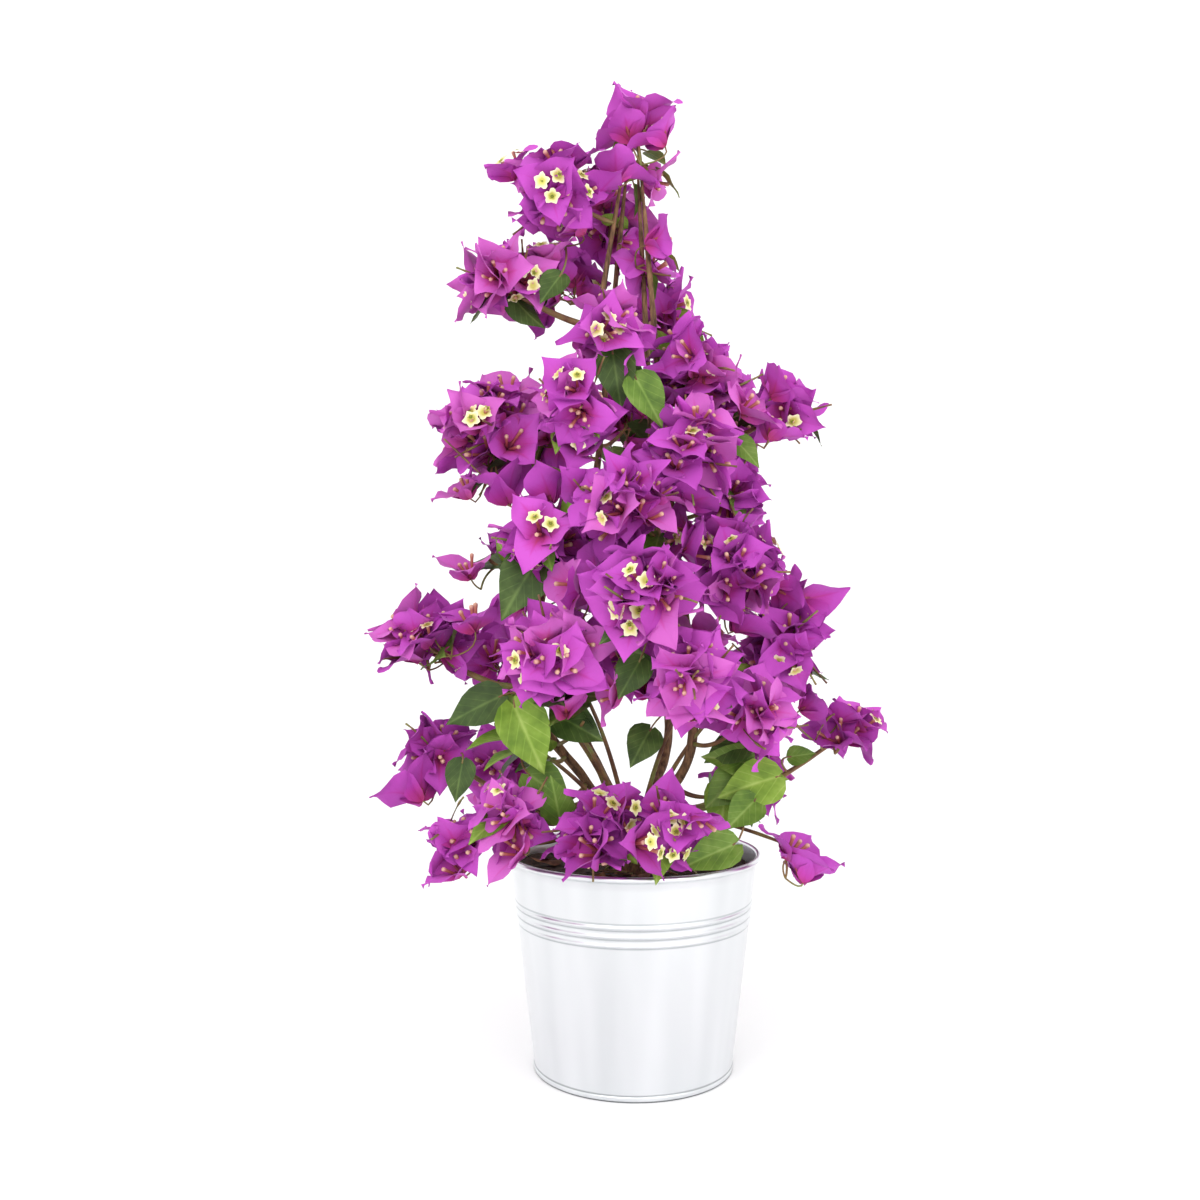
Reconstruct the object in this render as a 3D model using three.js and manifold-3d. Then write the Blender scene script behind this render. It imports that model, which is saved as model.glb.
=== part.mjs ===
// A bougainvillea trained as a slim cone, about 0.79 m tall, growing in a zinc bucket filled with compost.
// Millimetres, +Z up. The origin is the centre of the bucket's flat underside, and -Y is the plant's front.
// Four woody stems fork from one short trunk and lean together at the top. Sprays of three-bract blooms
// and leaves grow on from them, each spray inside a space of its own.

import * as THREE from "three";
import { mergeVertices } from "three/addons/utils/BufferGeometryUtils.js";
import Module from "manifold-3d";

const wasm = await Module();
wasm.setup();

// ---------------------------------------------------------------- driving dimensions

const CLEAR = 0.3; // clearance between neighbouring pieces
const POT = {
  height: 171, rimRadius: 98.5, footRadius: 78.2, sheet: 1, rollRadius: 2.2, rollSteps: 5,
  seamHeight: 4, seamDepth: 0.8, floor: 1.2, sides: 36,
};
const BEADS = { heights: [119, 125.8, 132.6], halfWidth: 2, depth: 1.1 };
const SOIL_TOP = 156;
const TRUNK = {
  flareRadius: 17, flareShare: 0.2, waistRadius: 12, waistShare: 0.55, topRadius: 11.6, top: 184, sides: 12,
};
const STEM = {
  footRing: 6.6, footRadius: 4.2, lowReach: 0.5, lowRise: 0.42, tipRadius: 1.7, tipReach: 7, tipHeight: 722,
  sides: 6, steps: 20, crowding: 1.5, samples: 120,
};

// Each stem swings out to its widest place and then leans in to the tip. Azimuths run from +X towards +Y.
const STEMS = [
  { name: "stem_left", footAzimuth: 195, azimuth: 190, reach: 80, height: 292 },
  { name: "stem_right", footAzimuth: 285, azimuth: -42, reach: 58, height: 255 },
  { name: "stem_back", footAzimuth: 15, azimuth: 59, reach: 58, height: 250 },
  { name: "stem_rear_left", footAzimuth: 105, azimuth: 130, reach: 75, height: 285 },
];

// The sprays of the front and sides: azimuth and reach of the centre from the plant's axis, its height, the
// radius of the space that the spray fills, its blooms and leaves, and whether a bough of its own carries it.
const SPRAYS = [
  ["top", -68, 5, 748, 41, 3, 1, false],
  ["upper_left", -158, 68, 692, 55, 9, 2, false],
  ["upper_right", 10, 14, 712, 36, 1, 3, false],
  ["shoulder_left", -169, 102, 616, 47, 7, 2, true],
  ["shoulder_right", 22, 18, 642, 38, 4, 1, false],
  ["breast_left", -118, 57, 572, 48, 8, 0, false],
  ["breast_right", -29, 63, 551, 54, 10, 1, false],
  ["wing_right", 0, 119, 522, 43, 7, 1, true],
  ["wing_left", -170, 112, 498, 57, 11, 0, true],
  ["middle_left", -118, 80, 516, 46, 7, 2, false],
  ["middle_right", -60, 81, 480, 48, 8, 1, false],
  ["flank_right", -14, 79, 453, 43, 6, 1, false],
  ["middle_front", -93, 88, 437, 50, 8, 0, false],
  ["flank_left", -139, 91, 415, 50, 7, 2, false],
  ["dart_left", 180, 115, 403, 35, 2, 1, false],
  ["far_left", -176, 164, 334, 51, 10, 1, true],
  ["belly_left", -122, 107, 326, 52, 8, 1, false],
  ["belly_front", -88, 122, 374, 50, 8, 0, false],
  ["belly_right", -43, 105, 393, 50, 8, 0, false],
  ["hip_right", -14, 122, 334, 48, 8, 1, false],
  ["hip_front", -74, 128, 316, 46, 7, 1, false],
  ["thigh_right", -44, 113, 284, 46, 7, 1, false],
  ["far_right", -3, 166, 264, 43, 7, 1, true],
  ["low_far_left", -173, 151, 251, 44, 7, 1, true],
  ["skirt_far_left", -156, 148, 190, 44, 7, 0, false],
  ["skirt_left", -137, 117, 212, 44, 6, 1, false],
  ["skirt_front", -110, 98, 200, 44, 6, 0, false],
  ["skirt_middle", -78, 92, 203, 44, 6, 0, false],
  ["skirt_right", -18, 126, 182, 41, 4, 1, false],
  ["leafy_left", -151, 100, 264, 48, 0, 5, false],
  ["leafy_right", -31, 96, 228, 48, 0, 5, false],
  ["leafy_middle", -120, 78, 280, 36, 0, 2, false],
];

// The sprays of the back, spread evenly over each tier's azimuths.
const BACK_TIERS = [
  { name: "top", height: 684, reach: 46, size: 46, from: 112, to: 112, count: 1 },
  { name: "upper", height: 610, reach: 66, size: 49, from: 68, to: 146, count: 2 },
  { name: "high", height: 515, reach: 96, size: 54, from: 42, to: 138, count: 3 },
  { name: "middle", height: 415, reach: 112, size: 54, from: 42, to: 138, count: 3 },
  { name: "low", height: 312, reach: 130, size: 54, from: 34, to: 148, count: 3 },
  { name: "skirt", height: 214, reach: 130, size: 47, from: 40, to: 150, count: 2 },
];
const BACK_BLOOMS_PER_MM = 0.12;
const BACK_LEAVES = 2;
const BACK_STAGGER = 12; // every second spray of a tier sits this much higher

// A bloom is a cup of three pointed bracts. Lengths are in millimetres, widths and places along a bract or leaf
// are shares of its length, and angles are in degrees. A shape is tried at its largest share of full size first.
const BLOOM = {
  length: 43, halfWidth: 0.4, shoulder: 0.48, keel: 0.09, valley: 0.13, thickness: 1.4, opening: 53,
  largest: 1, smallest: 0.62, widest: 108, nearest: 0.05, furthest: 0.7, scatter: 0.3, facing: 0.6, tilt: 0.25,
};
const LEAF = {
  length: 52, halfWidth: 0.32, shoulder: 0.42, keel: 0.07, thickness: 1.2,
  largest: 1.05, smallest: 0.6, widest: 135, nearest: 0.4, scatter: 0.35, droop: 0.7, facing: [0.6, 2],
};
const TWIG = { rootRadius: 1.1, tipRadius: 1, sides: 3, shortest: 3, lean: 0.2 };
const TRIES = { blooms: 320, leaves: 120 }; // places tried before a bloom or leaf is skipped
const SHOOT = { rootRadius: 2.3, tipRadius: 1.6, sides: 4, steps: 3, bend: 0.4, fork: 0.6 };
const BOUGH = { rootRadius: 3, tipRadius: 2.1, sides: 6, steps: 6, entry: 0.75, shortest: 0.3 };
const ROOTS = {
  from: 0.04, to: 0.96, step: 0.01, apart: 8, climb: 0.35, droopCost: 1.5, samples: 24, foot: 6.5, margin: 2,
};
const UPWARD = 0.3; // how far sprays turn up to the light
const AXIAL = 10; // a spray this near the plant's axis grows straight up
const MOST_CROSSINGS = 1; // others that a bloom's or leaf's own twig may cross
const SEED = 1000;

// ---------------------------------------------------------------- helpers

const radians = THREE.MathUtils.degToRad;
const UP = new THREE.Vector3(0, 0, 1);

const fromAxis = (azimuth, reach, height) =>
  new THREE.Vector3(reach * Math.cos(radians(azimuth)), reach * Math.sin(radians(azimuth)), height);

// A small seeded random source: the same numbers on every run.
function seeded(seed) {
  let state = seed >>> 0;
  return () => {
    state = (state + 0x6d2b79f5) >>> 0;
    let t = Math.imul(state ^ (state >>> 15), state | 1);
    t = (t + Math.imul(t ^ (t >>> 7), t | 61)) ^ t;
    return ((t ^ (t >>> 14)) >>> 0) / 4294967296;
  };
}

// Two unit vectors square to a direction and to each other.
function sideways(direction) {
  const reference = Math.abs(direction.z) < 0.9 ? UP : new THREE.Vector3(1, 0, 0);
  const u = new THREE.Vector3().crossVectors(reference, direction).normalize();
  return [u, new THREE.Vector3().crossVectors(direction, u)];
}

function geometryOf(vertices, triangles) {
  const positions = new Float32Array(vertices.flatMap((v) => [v.x, v.y, v.z]));
  return new THREE.BufferGeometry()
    .setAttribute("position", new THREE.BufferAttribute(positions, 3))
    .setIndex(triangles);
}

function solidOf(geometry) {
  const bare = new THREE.BufferGeometry()
    .setAttribute("position", geometry.getAttribute("position"))
    .setIndex(geometry.index);
  const merged = mergeVertices(bare, 1e-4);
  return new wasm.Manifold(
    new wasm.Mesh({
      numProp: 3,
      vertProperties: new Float32Array(merged.attributes.position.array),
      triVerts: new Uint32Array(merged.index.array),
    }),
  );
}

function geometryOfSolid(solid) {
  const mesh = solid.getMesh();
  const positions = new Float32Array(mesh.numVert * 3);
  for (let i = 0; i < mesh.numVert; i++)
    positions.set(mesh.vertProperties.subarray(i * mesh.numProp, i * mesh.numProp + 3), i * 3);
  return new THREE.BufferGeometry()
    .setAttribute("position", new THREE.BufferAttribute(positions, 3))
    .setIndex(new THREE.BufferAttribute(new Uint32Array(mesh.triVerts), 1));
}

// A tapering round limb along a curve, with flat ends. Its section is carried along without twisting, and a
// crowding over 1 draws its rings together towards the foot, where it bends most.
function limb(curve, radiusAt, sides, steps, crowding = 1) {
  const vertices = [];
  const triangles = [];
  let [u] = sideways(curve.getTangentAt(0));
  for (let i = 0; i <= steps; i++) {
    const share = (i / steps) ** crowding;
    const centre = curve.getPointAt(share);
    const along = curve.getTangentAt(share);
    u = u.clone().addScaledVector(along, -u.dot(along)).normalize();
    const v = new THREE.Vector3().crossVectors(along, u);
    for (let k = 0; k < sides; k++) {
      const turn = (2 * Math.PI * k) / sides;
      const radius = radiusAt(share);
      vertices.push(
        centre.clone().addScaledVector(u, radius * Math.cos(turn)).addScaledVector(v, radius * Math.sin(turn)),
      );
    }
  }
  for (let i = 0; i < steps; i++)
    for (let k = 0; k < sides; k++) {
      const a = i * sides + k;
      const b = i * sides + ((k + 1) % sides);
      triangles.push(a, b, b + sides, a, b + sides, a + sides);
    }
  const last = steps * sides;
  for (let k = 1; k < sides - 1; k++)
    triangles.push(0, k + 1, k, last, last + k, last + k + 1);
  return geometryOf(vertices, triangles);
}

const taper = (root, tip) => (share) => root + (tip - root) * share;

const material = (color, roughness, metalness) => new THREE.MeshStandardMaterial({ color, roughness, metalness });

const ZINC = material("#c9cdd0", 0.38, 0.9);
const COMPOST = material("#33261d", 0.95, 0);
const BARK = material("#6b5240", 0.85, 0);
const SHOOT_BARK = material("#7a5f42", 0.8, 0);
const BRACT = material("#b23bb4", 0.6, 0);
const FOLIAGE = material("#5b7434", 0.55, 0);

function node(name, geometry, finish) {
  const mesh = new THREE.Mesh(geometry, finish);
  mesh.name = name;
  return mesh;
}

// A lathe turned about Z from a profile of [radius, height] pairs.
function turned(profile, sides) {
  const points = profile.map(([radius, height]) => new THREE.Vector2(radius, height));
  return new THREE.LatheGeometry(points, sides).rotateX(Math.PI / 2);
}

// ---------------------------------------------------------------- bucket, compost and trunk

const wallRadius = (height) => POT.footRadius + ((POT.rimRadius - POT.footRadius) * height) / POT.height;

function bucket() {
  const rollCentre = POT.height - POT.rollRadius;
  const outside = [
    [0, 0],
    [POT.footRadius + POT.seamDepth, 0],
    [wallRadius(POT.seamHeight) + POT.seamDepth, POT.seamHeight],
    [wallRadius(POT.seamHeight + POT.seamDepth), POT.seamHeight + POT.seamDepth],
  ];
  for (const height of BEADS.heights)
    for (const [offset, depth] of [[-BEADS.halfWidth, 0], [0, BEADS.depth], [BEADS.halfWidth, 0]])
      outside.push([wallRadius(height + offset) + depth, height + offset]);
  const inner = wallRadius(rollCentre) - POT.sheet;
  const rollMiddle = inner + POT.rollRadius;
  for (let i = 0; i <= POT.rollSteps; i++) {
    const turn = radians(-70 + (i * 250) / POT.rollSteps);
    outside.push([rollMiddle + POT.rollRadius * Math.cos(turn), rollCentre + POT.rollRadius * Math.sin(turn)]);
  }
  const inside = [
    [wallRadius(POT.floor) - POT.sheet, POT.floor],
    [0, POT.floor],
  ];
  return turned([...outside, ...inside], POT.sides);
}

function compost() {
  const foot = POT.floor + CLEAR;
  const clear = POT.sheet + 1.5 * CLEAR;
  return turned(
    [
      [0, foot],
      [wallRadius(foot) - clear, foot],
      [wallRadius(SOIL_TOP) - clear, SOIL_TOP],
      [0, SOIL_TOP],
    ],
    POT.sides,
  );
}

function trunk() {
  const foot = SOIL_TOP + CLEAR;
  const rise = TRUNK.top - foot;
  return turned(
    [
      [0, foot],
      [TRUNK.flareRadius, foot],
      [(TRUNK.flareRadius + TRUNK.waistRadius) / 2, foot + TRUNK.flareShare * rise],
      [TRUNK.waistRadius, foot + TRUNK.waistShare * rise],
      [TRUNK.topRadius, TRUNK.top],
      [0, TRUNK.top],
    ],
    TRUNK.sides,
  );
}

// ---------------------------------------------------------------- stems

function stemCurve({ footAzimuth, azimuth, reach, height }) {
  const foot = fromAxis(footAzimuth, STEM.footRing, TRUNK.top + CLEAR);
  const low = fromAxis(azimuth, STEM.lowReach * reach, foot.z + STEM.lowRise * (height - foot.z));
  const wide = fromAxis(azimuth, reach, height);
  const tip = fromAxis(azimuth, STEM.tipReach, STEM.tipHeight);
  const middle = wide.clone().lerp(tip, 0.5);
  return new THREE.CatmullRomCurve3([foot, low, wide, middle, tip], false, "centripetal");
}

const stemRadius = taper(STEM.footRadius, STEM.tipRadius);
// The foot keeps level, so that it stands flat on the trunk's fork.
function stemGeometry(curve) {
  const geometry = limb(curve, stemRadius, STEM.sides, STEM.steps, STEM.crowding);
  const position = geometry.getAttribute("position");
  for (let k = 0; k < STEM.sides; k++) position.setZ(k, TRUNK.top + CLEAR);
  return geometry;
}

const stems = STEMS.map((stem) => {
  const curve = stemCurve(stem);
  const roomRadius = (share) => stemRadius(share) + 2 * CLEAR;
  const room = solidOf(limb(curve, roomRadius, STEM.sides, STEM.steps, STEM.crowding));
  const course = curve.getSpacedPoints(STEM.samples);
  return { ...stem, curve, course, room, solid: solidOf(stemGeometry(curve)) };
});

// ---------------------------------------------------------------- sprays: their spaces and shoots

const frontSprays = SPRAYS.map(([name, azimuth, reach, height, size, blooms, leaves, bough]) => ({
  name, size, blooms, leaves, bough, centre: fromAxis(azimuth, reach, height),
}));

const backSprays = BACK_TIERS.flatMap(({ name, height, reach, size, from, to, count }) =>
  Array.from({ length: count }, (_, k) => ({
    name: `back_${name}_${k + 1}`,
    size,
    blooms: Math.round(size * BACK_BLOOMS_PER_MM),
    leaves: BACK_LEAVES,
    bough: false,
    centre: fromAxis(
      count === 1 ? from : from + ((to - from) * k) / (count - 1),
      reach,
      height + BACK_STAGGER * (k % 2),
    ),
  })),
);

const sprays = [...frontSprays, ...backSprays];

// How far a point lies inside a spray's space: a ball round its centre, cut by a flat wall to each neighbour.
function depthInSpace(spray, point) {
  const power = (owner) => point.distanceToSquared(owner.centre) - owner.size ** 2;
  const own = power(spray);
  let depth = spray.size - point.distanceTo(spray.centre);
  for (const other of sprays)
    if (other !== spray)
      depth = Math.min(depth, (power(other) - own) / (2 * spray.centre.distanceTo(other.centre)));
  return depth;
}

const overlaps = (a, b) => !a.intersect(b).isEmpty();

// A stretch of a curve, as a curve of its own.
function stretch(curve, from, to) {
  const points = Array.from({ length: 9 }, (_, i) => curve.getPointAt(from + ((to - from) * i) / 8));
  return new THREE.CatmullRomCurve3(points, false, "centripetal");
}

// The places where a shoot can leave: square to a stem all along it, or straight on from its tip. The nearest
// come first, and a shoot would sooner climb than droop.
function rootsFor(spray) {
  const roots = [];
  for (const stem of stems) {
    for (let share = ROOTS.from; share <= ROOTS.to; share += ROOTS.step) {
      const at = stem.curve.getPointAt(share);
      const along = stem.curve.getTangentAt(share);
      const out = spray.centre.clone().sub(at);
      const reach = out.length();
      const droop = Math.max(0, at.z - spray.centre.z + ROOTS.climb * reach);
      out.addScaledVector(along, -out.dot(along)).normalize();
      roots.push({ stem, at, out, clear: stemRadius(share) + CLEAR, cost: reach + ROOTS.droopCost * droop });
    }
    const tip = stem.curve.getPointAt(1);
    roots.push({ stem, at: tip, out: stem.curve.getTangentAt(1), clear: CLEAR, cost: tip.distanceTo(spray.centre) });
  }
  return roots.sort((a, b) => a.cost - b.cost);
}

function shootCurve(root, spray) {
  const start = root.at.clone().addScaledVector(root.out, root.clear);
  const bend = start.clone().addScaledVector(root.out, SHOOT.bend * start.distanceTo(spray.centre));
  return new THREE.QuadraticBezierCurve3(start, bend, spray.centre);
}

// True where every sampled point of one course stays far enough from each sampled point of another.
const apart = (course, other, distanceAt) =>
  course.every((point) => other.every((its, index) => point.distanceTo(its) >= distanceAt(index)));

// Gives a spray the first root whose shoot runs clear of every stem and of the shoots placed before it.
function rootShoot(spray, placed) {
  const radius = spray.bough ? BOUGH.rootRadius : SHOOT.rootRadius;
  const fromStem = (index) => radius + stemRadius(index / STEM.samples) + ROOTS.margin;
  const fromShoot = () => radius + BOUGH.rootRadius + ROOTS.margin;
  for (const root of rootsFor(spray)) {
    if (placed.some((other) => other.root.at.distanceTo(root.at) < ROOTS.apart)) continue;
    const curve = shootCurve(root, spray);
    const course = curve.getSpacedPoints(ROOTS.samples);
    const beyondFoot = course.filter((point) => point.distanceTo(course[0]) > ROOTS.foot);
    const clear = placed.every((other) => apart(course, other.course, fromShoot))
      && stems.every((stem) => apart(stem === root.stem ? beyondFoot : course, stem.course, fromStem));
    if (clear) return { root, curve, course };
  }
  throw new Error(`no stem has room for the shoot of ${spray.name}`);
}

const placed = [];
for (const spray of [...sprays].sort((a, b) => Number(b.bough) - Number(a.bough))) {
  Object.assign(spray, rootShoot(spray, placed));
  placed.push(spray);
  const length = spray.curve.getLength();
  const thickest = spray.bough ? BOUGH.rootRadius : SHOOT.rootRadius;
  spray.room = solidOf(limb(spray.curve, () => thickest + 2 * CLEAR, SHOOT.sides, 2 * SHOOT.steps));
  const entry = spray.bough ? Math.max(BOUGH.shortest, 1 - (BOUGH.entry * spray.size) / length) : 0;
  if (spray.bough) {
    const course = stretch(spray.curve, 0, entry);
    spray.boughSolid = solidOf(limb(course, taper(BOUGH.rootRadius, BOUGH.tipRadius), BOUGH.sides, BOUGH.steps));
    spray.boughRoom = solidOf(limb(course, () => BOUGH.rootRadius + CLEAR, BOUGH.sides, BOUGH.steps));
  }
  spray.shootCurve = spray.bough ? stretch(spray.curve, entry + CLEAR / length, 1) : spray.curve;
  const footRadius = spray.bough ? BOUGH.tipRadius : SHOOT.rootRadius;
  spray.shoot = solidOf(limb(spray.shootCurve, taper(footRadius, SHOOT.tipRadius), SHOOT.sides, SHOOT.steps));
}

// ---------------------------------------------------------------- blooms and leaves on their twigs

// Three corners round a point, seen anticlockwise by someone whom the axis points at.
function triangleRound(centre, u, v, radius, spin) {
  return Array.from({ length: TWIG.sides }, (_, k) => {
    const turn = spin + (2 * Math.PI * k) / TWIG.sides;
    return centre.clone().addScaledVector(u, radius * Math.cos(turn)).addScaledVector(v, radius * Math.sin(turn));
  });
}

// The sides and the foot of a three-sided twig, whose foot ring is vertices 0 to 2 and whose end ring is 3 to 5.
const TWIG_TRIANGLES = [2, 1, 0, 0, 1, 4, 0, 4, 3, 1, 2, 5, 1, 5, 4, 2, 0, 3, 2, 3, 5];

// A cup of three keeled bracts that faces along an axis, with the twig that carries it. The twig's corners
// stand under the valleys between the bracts.
function bloom({ foot, base, axis, spin, size }) {
  const [u, v] = sideways(axis);
  const length = BLOOM.length * size;
  const out = length * Math.sin(radians(BLOOM.opening));
  const rise = length * Math.cos(radians(BLOOM.opening));
  const onBract = (turn, share, lift, aside) =>
    base.clone()
      .addScaledVector(u, share * out * Math.cos(turn) - aside * Math.sin(turn))
      .addScaledVector(v, share * out * Math.sin(turn) + aside * Math.cos(turn))
      .addScaledVector(axis, share * rise + lift);
  const under = base.clone().addScaledVector(axis, -BLOOM.thickness);
  const vertices = [
    ...triangleRound(foot, u, v, TWIG.rootRadius, spin + Math.PI / 3),
    ...triangleRound(under, u, v, TWIG.tipRadius, spin + Math.PI / 3),
    base,
  ];
  const triangles = [...TWIG_TRIANGLES];
  const side = BLOOM.halfWidth * length;
  const lift = BLOOM.keel * length;
  for (let i = 0; i < 3; i++) {
    const turn = spin + (2 * Math.PI * i) / 3;
    vertices.push(
      onBract(turn, BLOOM.shoulder, lift, -side),
      onBract(turn, 1, 0, 0),
      onBract(turn, BLOOM.shoulder, lift, side),
      onBract(turn + Math.PI / 3, BLOOM.valley, 0, 0),
    );
    const [near, tip, far, valley] = [7, 8, 9, 10].map((k) => k + 4 * i);
    const before = 10 + 4 * ((i + 2) % 3);
    const [from, to] = [3 + ((i + 2) % 3), 3 + i];
    triangles.push(6, before, near, 6, near, tip, 6, tip, far, 6, far, valley);
    triangles.push(from, near, before, from, tip, near, from, to, tip, to, far, tip, to, valley, far);
  }
  return { vertices, triangles };
}

// A pointed leaf, folded a little along its rib, with the twig that carries it.
function leaf({ foot, base, along, normal, size }) {
  const length = LEAF.length * size;
  const right = new THREE.Vector3().crossVectors(along, normal).normalize();
  const face = new THREE.Vector3().crossVectors(right, along);
  const onBlade = (share, aside, lift) =>
    base.clone().addScaledVector(along, share * length).addScaledVector(right, aside).addScaledVector(face, lift);
  const side = LEAF.halfWidth * length;
  const sunk = -LEAF.keel * length;
  const vertices = [
    ...triangleRound(foot, face, right, TWIG.rootRadius, 0),
    ...triangleRound(base, face, right, TWIG.tipRadius, 0),
    onBlade(LEAF.shoulder, -side, 0),
    onBlade(1, 0, 0),
    onBlade(LEAF.shoulder, side, 0),
    onBlade(LEAF.shoulder, 0, sunk),
    onBlade(LEAF.shoulder, 0, sunk - LEAF.thickness),
  ];
  const upper = [3, 9, 6, 3, 6, 5, 9, 7, 6, 9, 8, 7, 3, 8, 9, 3, 4, 8];
  const lower = [5, 10, 4, 5, 6, 10, 6, 7, 10, 7, 8, 10, 8, 4, 10];
  return { vertices, triangles: [...TWIG_TRIANGLES, ...upper, ...lower] };
}

// ---------------------------------------------------------------- growth

function grow(spray, seed) {
  const random = seeded(seed);
  const within = (low, high) => low + (high - low) * random();
  const outward = new THREE.Vector3(spray.centre.x, spray.centre.y, 0);
  if (outward.length() > AXIAL) outward.normalize().addScaledVector(UP, UPWARD).normalize();
  else outward.set(0, 0, 1);
  const [u, v] = sideways(outward);
  const shootLength = spray.shootCurve.getLength();
  const fork = Math.min(SHOOT.fork, (SHOOT.fork * spray.size) / shootLength);
  const rooms = [
    ...stems.map((stem) => stem.room),
    ...sprays.filter((other) => other !== spray).map((other) => other.room),
    ...(spray.bough ? [spray.boughRoom] : []),
  ];
  const grown = [];

  // A direction on the outer side of the spray, at an angle of up to widest from straight out.
  const direction = (widest) => {
    const polar = Math.acos(within(Math.cos(radians(widest)), 1));
    const turn = within(0, 2 * Math.PI);
    return outward.clone().multiplyScalar(Math.cos(polar))
      .addScaledVector(u, Math.sin(polar) * Math.cos(turn))
      .addScaledVector(v, Math.sin(polar) * Math.sin(turn));
  };

  const jitter = (amount) =>
    u.clone().multiplyScalar(within(-amount, amount)).addScaledVector(v, within(-amount, amount));

  // Adds a shape where it stays in the spray's space, clear of every limb and of the other blooms and leaves.
  // Only its twig may cross some of them.
  const add = (make, place, heading) => {
    const reach = place.base.clone().sub(place.foot);
    if (reach.length() < TWIG.shortest || reach.dot(heading) < TWIG.lean * reach.length()) return false;
    const { vertices, triangles } = make(place);
    if (vertices.slice(3).some((point) => depthInSpace(spray, point) < CLEAR)) return false;
    const solid = solidOf(geometryOf(vertices, triangles));
    if (rooms.some((other) => overlaps(solid, other))) return false;
    const bare = make({ ...place, foot: place.base.clone().addScaledVector(heading, -TWIG.shortest) });
    const head = solidOf(geometryOf(bare.vertices, bare.triangles));
    if (overlaps(head, spray.shoot) || grown.some((other) => overlaps(head, other.head))) return false;
    if (grown.filter((other) => overlaps(solid, other.solid)).length > MOST_CROSSINGS) return false;
    grown.push({ solid, head });
    return true;
  };

  const total = spray.blooms + spray.leaves;
  const footOf = (k) => spray.shootCurve.getPointAt(1 - fork + (fork * (k + 0.5)) / total);

  const addBloom = (k) => {
    for (let attempt = 0; attempt < TRIES.blooms; attempt++) {
      const away = direction(BLOOM.widest);
      const size = BLOOM.largest - ((BLOOM.largest - BLOOM.smallest) * attempt) / TRIES.blooms;
      const base = spray.centre.clone().addScaledVector(away, spray.size * within(BLOOM.nearest, BLOOM.furthest))
        .add(jitter(BLOOM.scatter * spray.size));
      const axis = away.clone().addScaledVector(outward, BLOOM.facing).add(jitter(BLOOM.tilt)).normalize();
      const place = { foot: footOf(k), base, axis, spin: within(0, 2 * Math.PI), size };
      if (add(bloom, place, axis)) return 1;
    }
    return 0;
  };

  const addLeaf = (k) => {
    for (let attempt = 0; attempt < TRIES.leaves; attempt++) {
      const away = direction(LEAF.widest);
      const size = LEAF.largest - ((LEAF.largest - LEAF.smallest) * attempt) / TRIES.leaves;
      const room = spray.size - LEAF.length * size;
      const base = spray.centre.clone().addScaledVector(away, room * within(LEAF.nearest, 1))
        .add(jitter(LEAF.scatter * spray.size));
      const along = away.clone().addScaledVector(UP, -within(0, LEAF.droop)).normalize();
      const normal = UP.clone().addScaledVector(outward, within(...LEAF.facing)).normalize();
      const place = { foot: footOf(k), base, along, normal, size };
      if (add(leaf, place, along)) return 1;
    }
    return 0;
  };

  let [blooms, leaves] = [0, 0];
  for (let k = 0; k < spray.blooms; k++) blooms += addBloom(k);
  for (let k = 0; k < spray.leaves; k++) leaves += addLeaf(spray.blooms + k);
  const pieces = grown.reduce((sum, part) => sum.add(part.solid), spray.shoot).decompose();
  const solid = pieces.sort((a, b) => b.volume() - a.volume())[0];
  return { solid, blooms, leaves };
}

// ---------------------------------------------------------------- the whole plant

const plant = new THREE.Group();
plant.add(node("bucket", bucket(), ZINC));
plant.add(node("compost", compost(), COMPOST));
plant.add(node("trunk", trunk(), BARK));
for (const stem of stems) plant.add(node(stem.name, geometryOfSolid(stem.solid), BARK));
sprays.forEach((spray, index) => {
  if (spray.bough) plant.add(node(`bough_${spray.name}`, geometryOfSolid(spray.boughSolid), SHOOT_BARK));
  spray.grown = grow(spray, SEED + index);
  const mesh = node(`spray_${spray.name}`, geometryOfSolid(spray.grown.solid), spray.blooms ? BRACT : FOLIAGE);
  mesh.geometry.translate(-spray.centre.x, -spray.centre.y, -spray.centre.z);
  mesh.position.copy(spray.centre);
  plant.add(mesh);
});

export default plant;
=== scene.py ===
"""A bougainvillea trained as a slim cone, in full bloom, growing in a galvanised bucket filled with compost.

Places and sizes are worked out in millimetres, +Z up, from the centre of the bucket's underside, with -Y as
the plant's front. They turn into metres where a mesh is made.
"""

import math

import bpy
import numpy as np
from mathutils import Matrix, Vector


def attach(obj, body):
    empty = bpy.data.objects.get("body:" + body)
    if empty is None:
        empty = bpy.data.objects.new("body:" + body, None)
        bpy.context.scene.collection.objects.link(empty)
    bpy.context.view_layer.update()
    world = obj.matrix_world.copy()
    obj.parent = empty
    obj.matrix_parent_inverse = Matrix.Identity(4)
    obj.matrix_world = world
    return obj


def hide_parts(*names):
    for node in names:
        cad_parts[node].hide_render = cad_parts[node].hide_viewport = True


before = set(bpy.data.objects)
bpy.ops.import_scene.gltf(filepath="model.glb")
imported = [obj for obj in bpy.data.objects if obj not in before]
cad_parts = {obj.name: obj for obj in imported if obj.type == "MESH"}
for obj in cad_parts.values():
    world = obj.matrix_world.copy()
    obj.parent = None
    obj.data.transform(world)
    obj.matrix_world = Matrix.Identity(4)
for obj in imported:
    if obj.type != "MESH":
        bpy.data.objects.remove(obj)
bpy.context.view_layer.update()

# ---------------------------------------------------------------- sizes of the solid model

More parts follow.
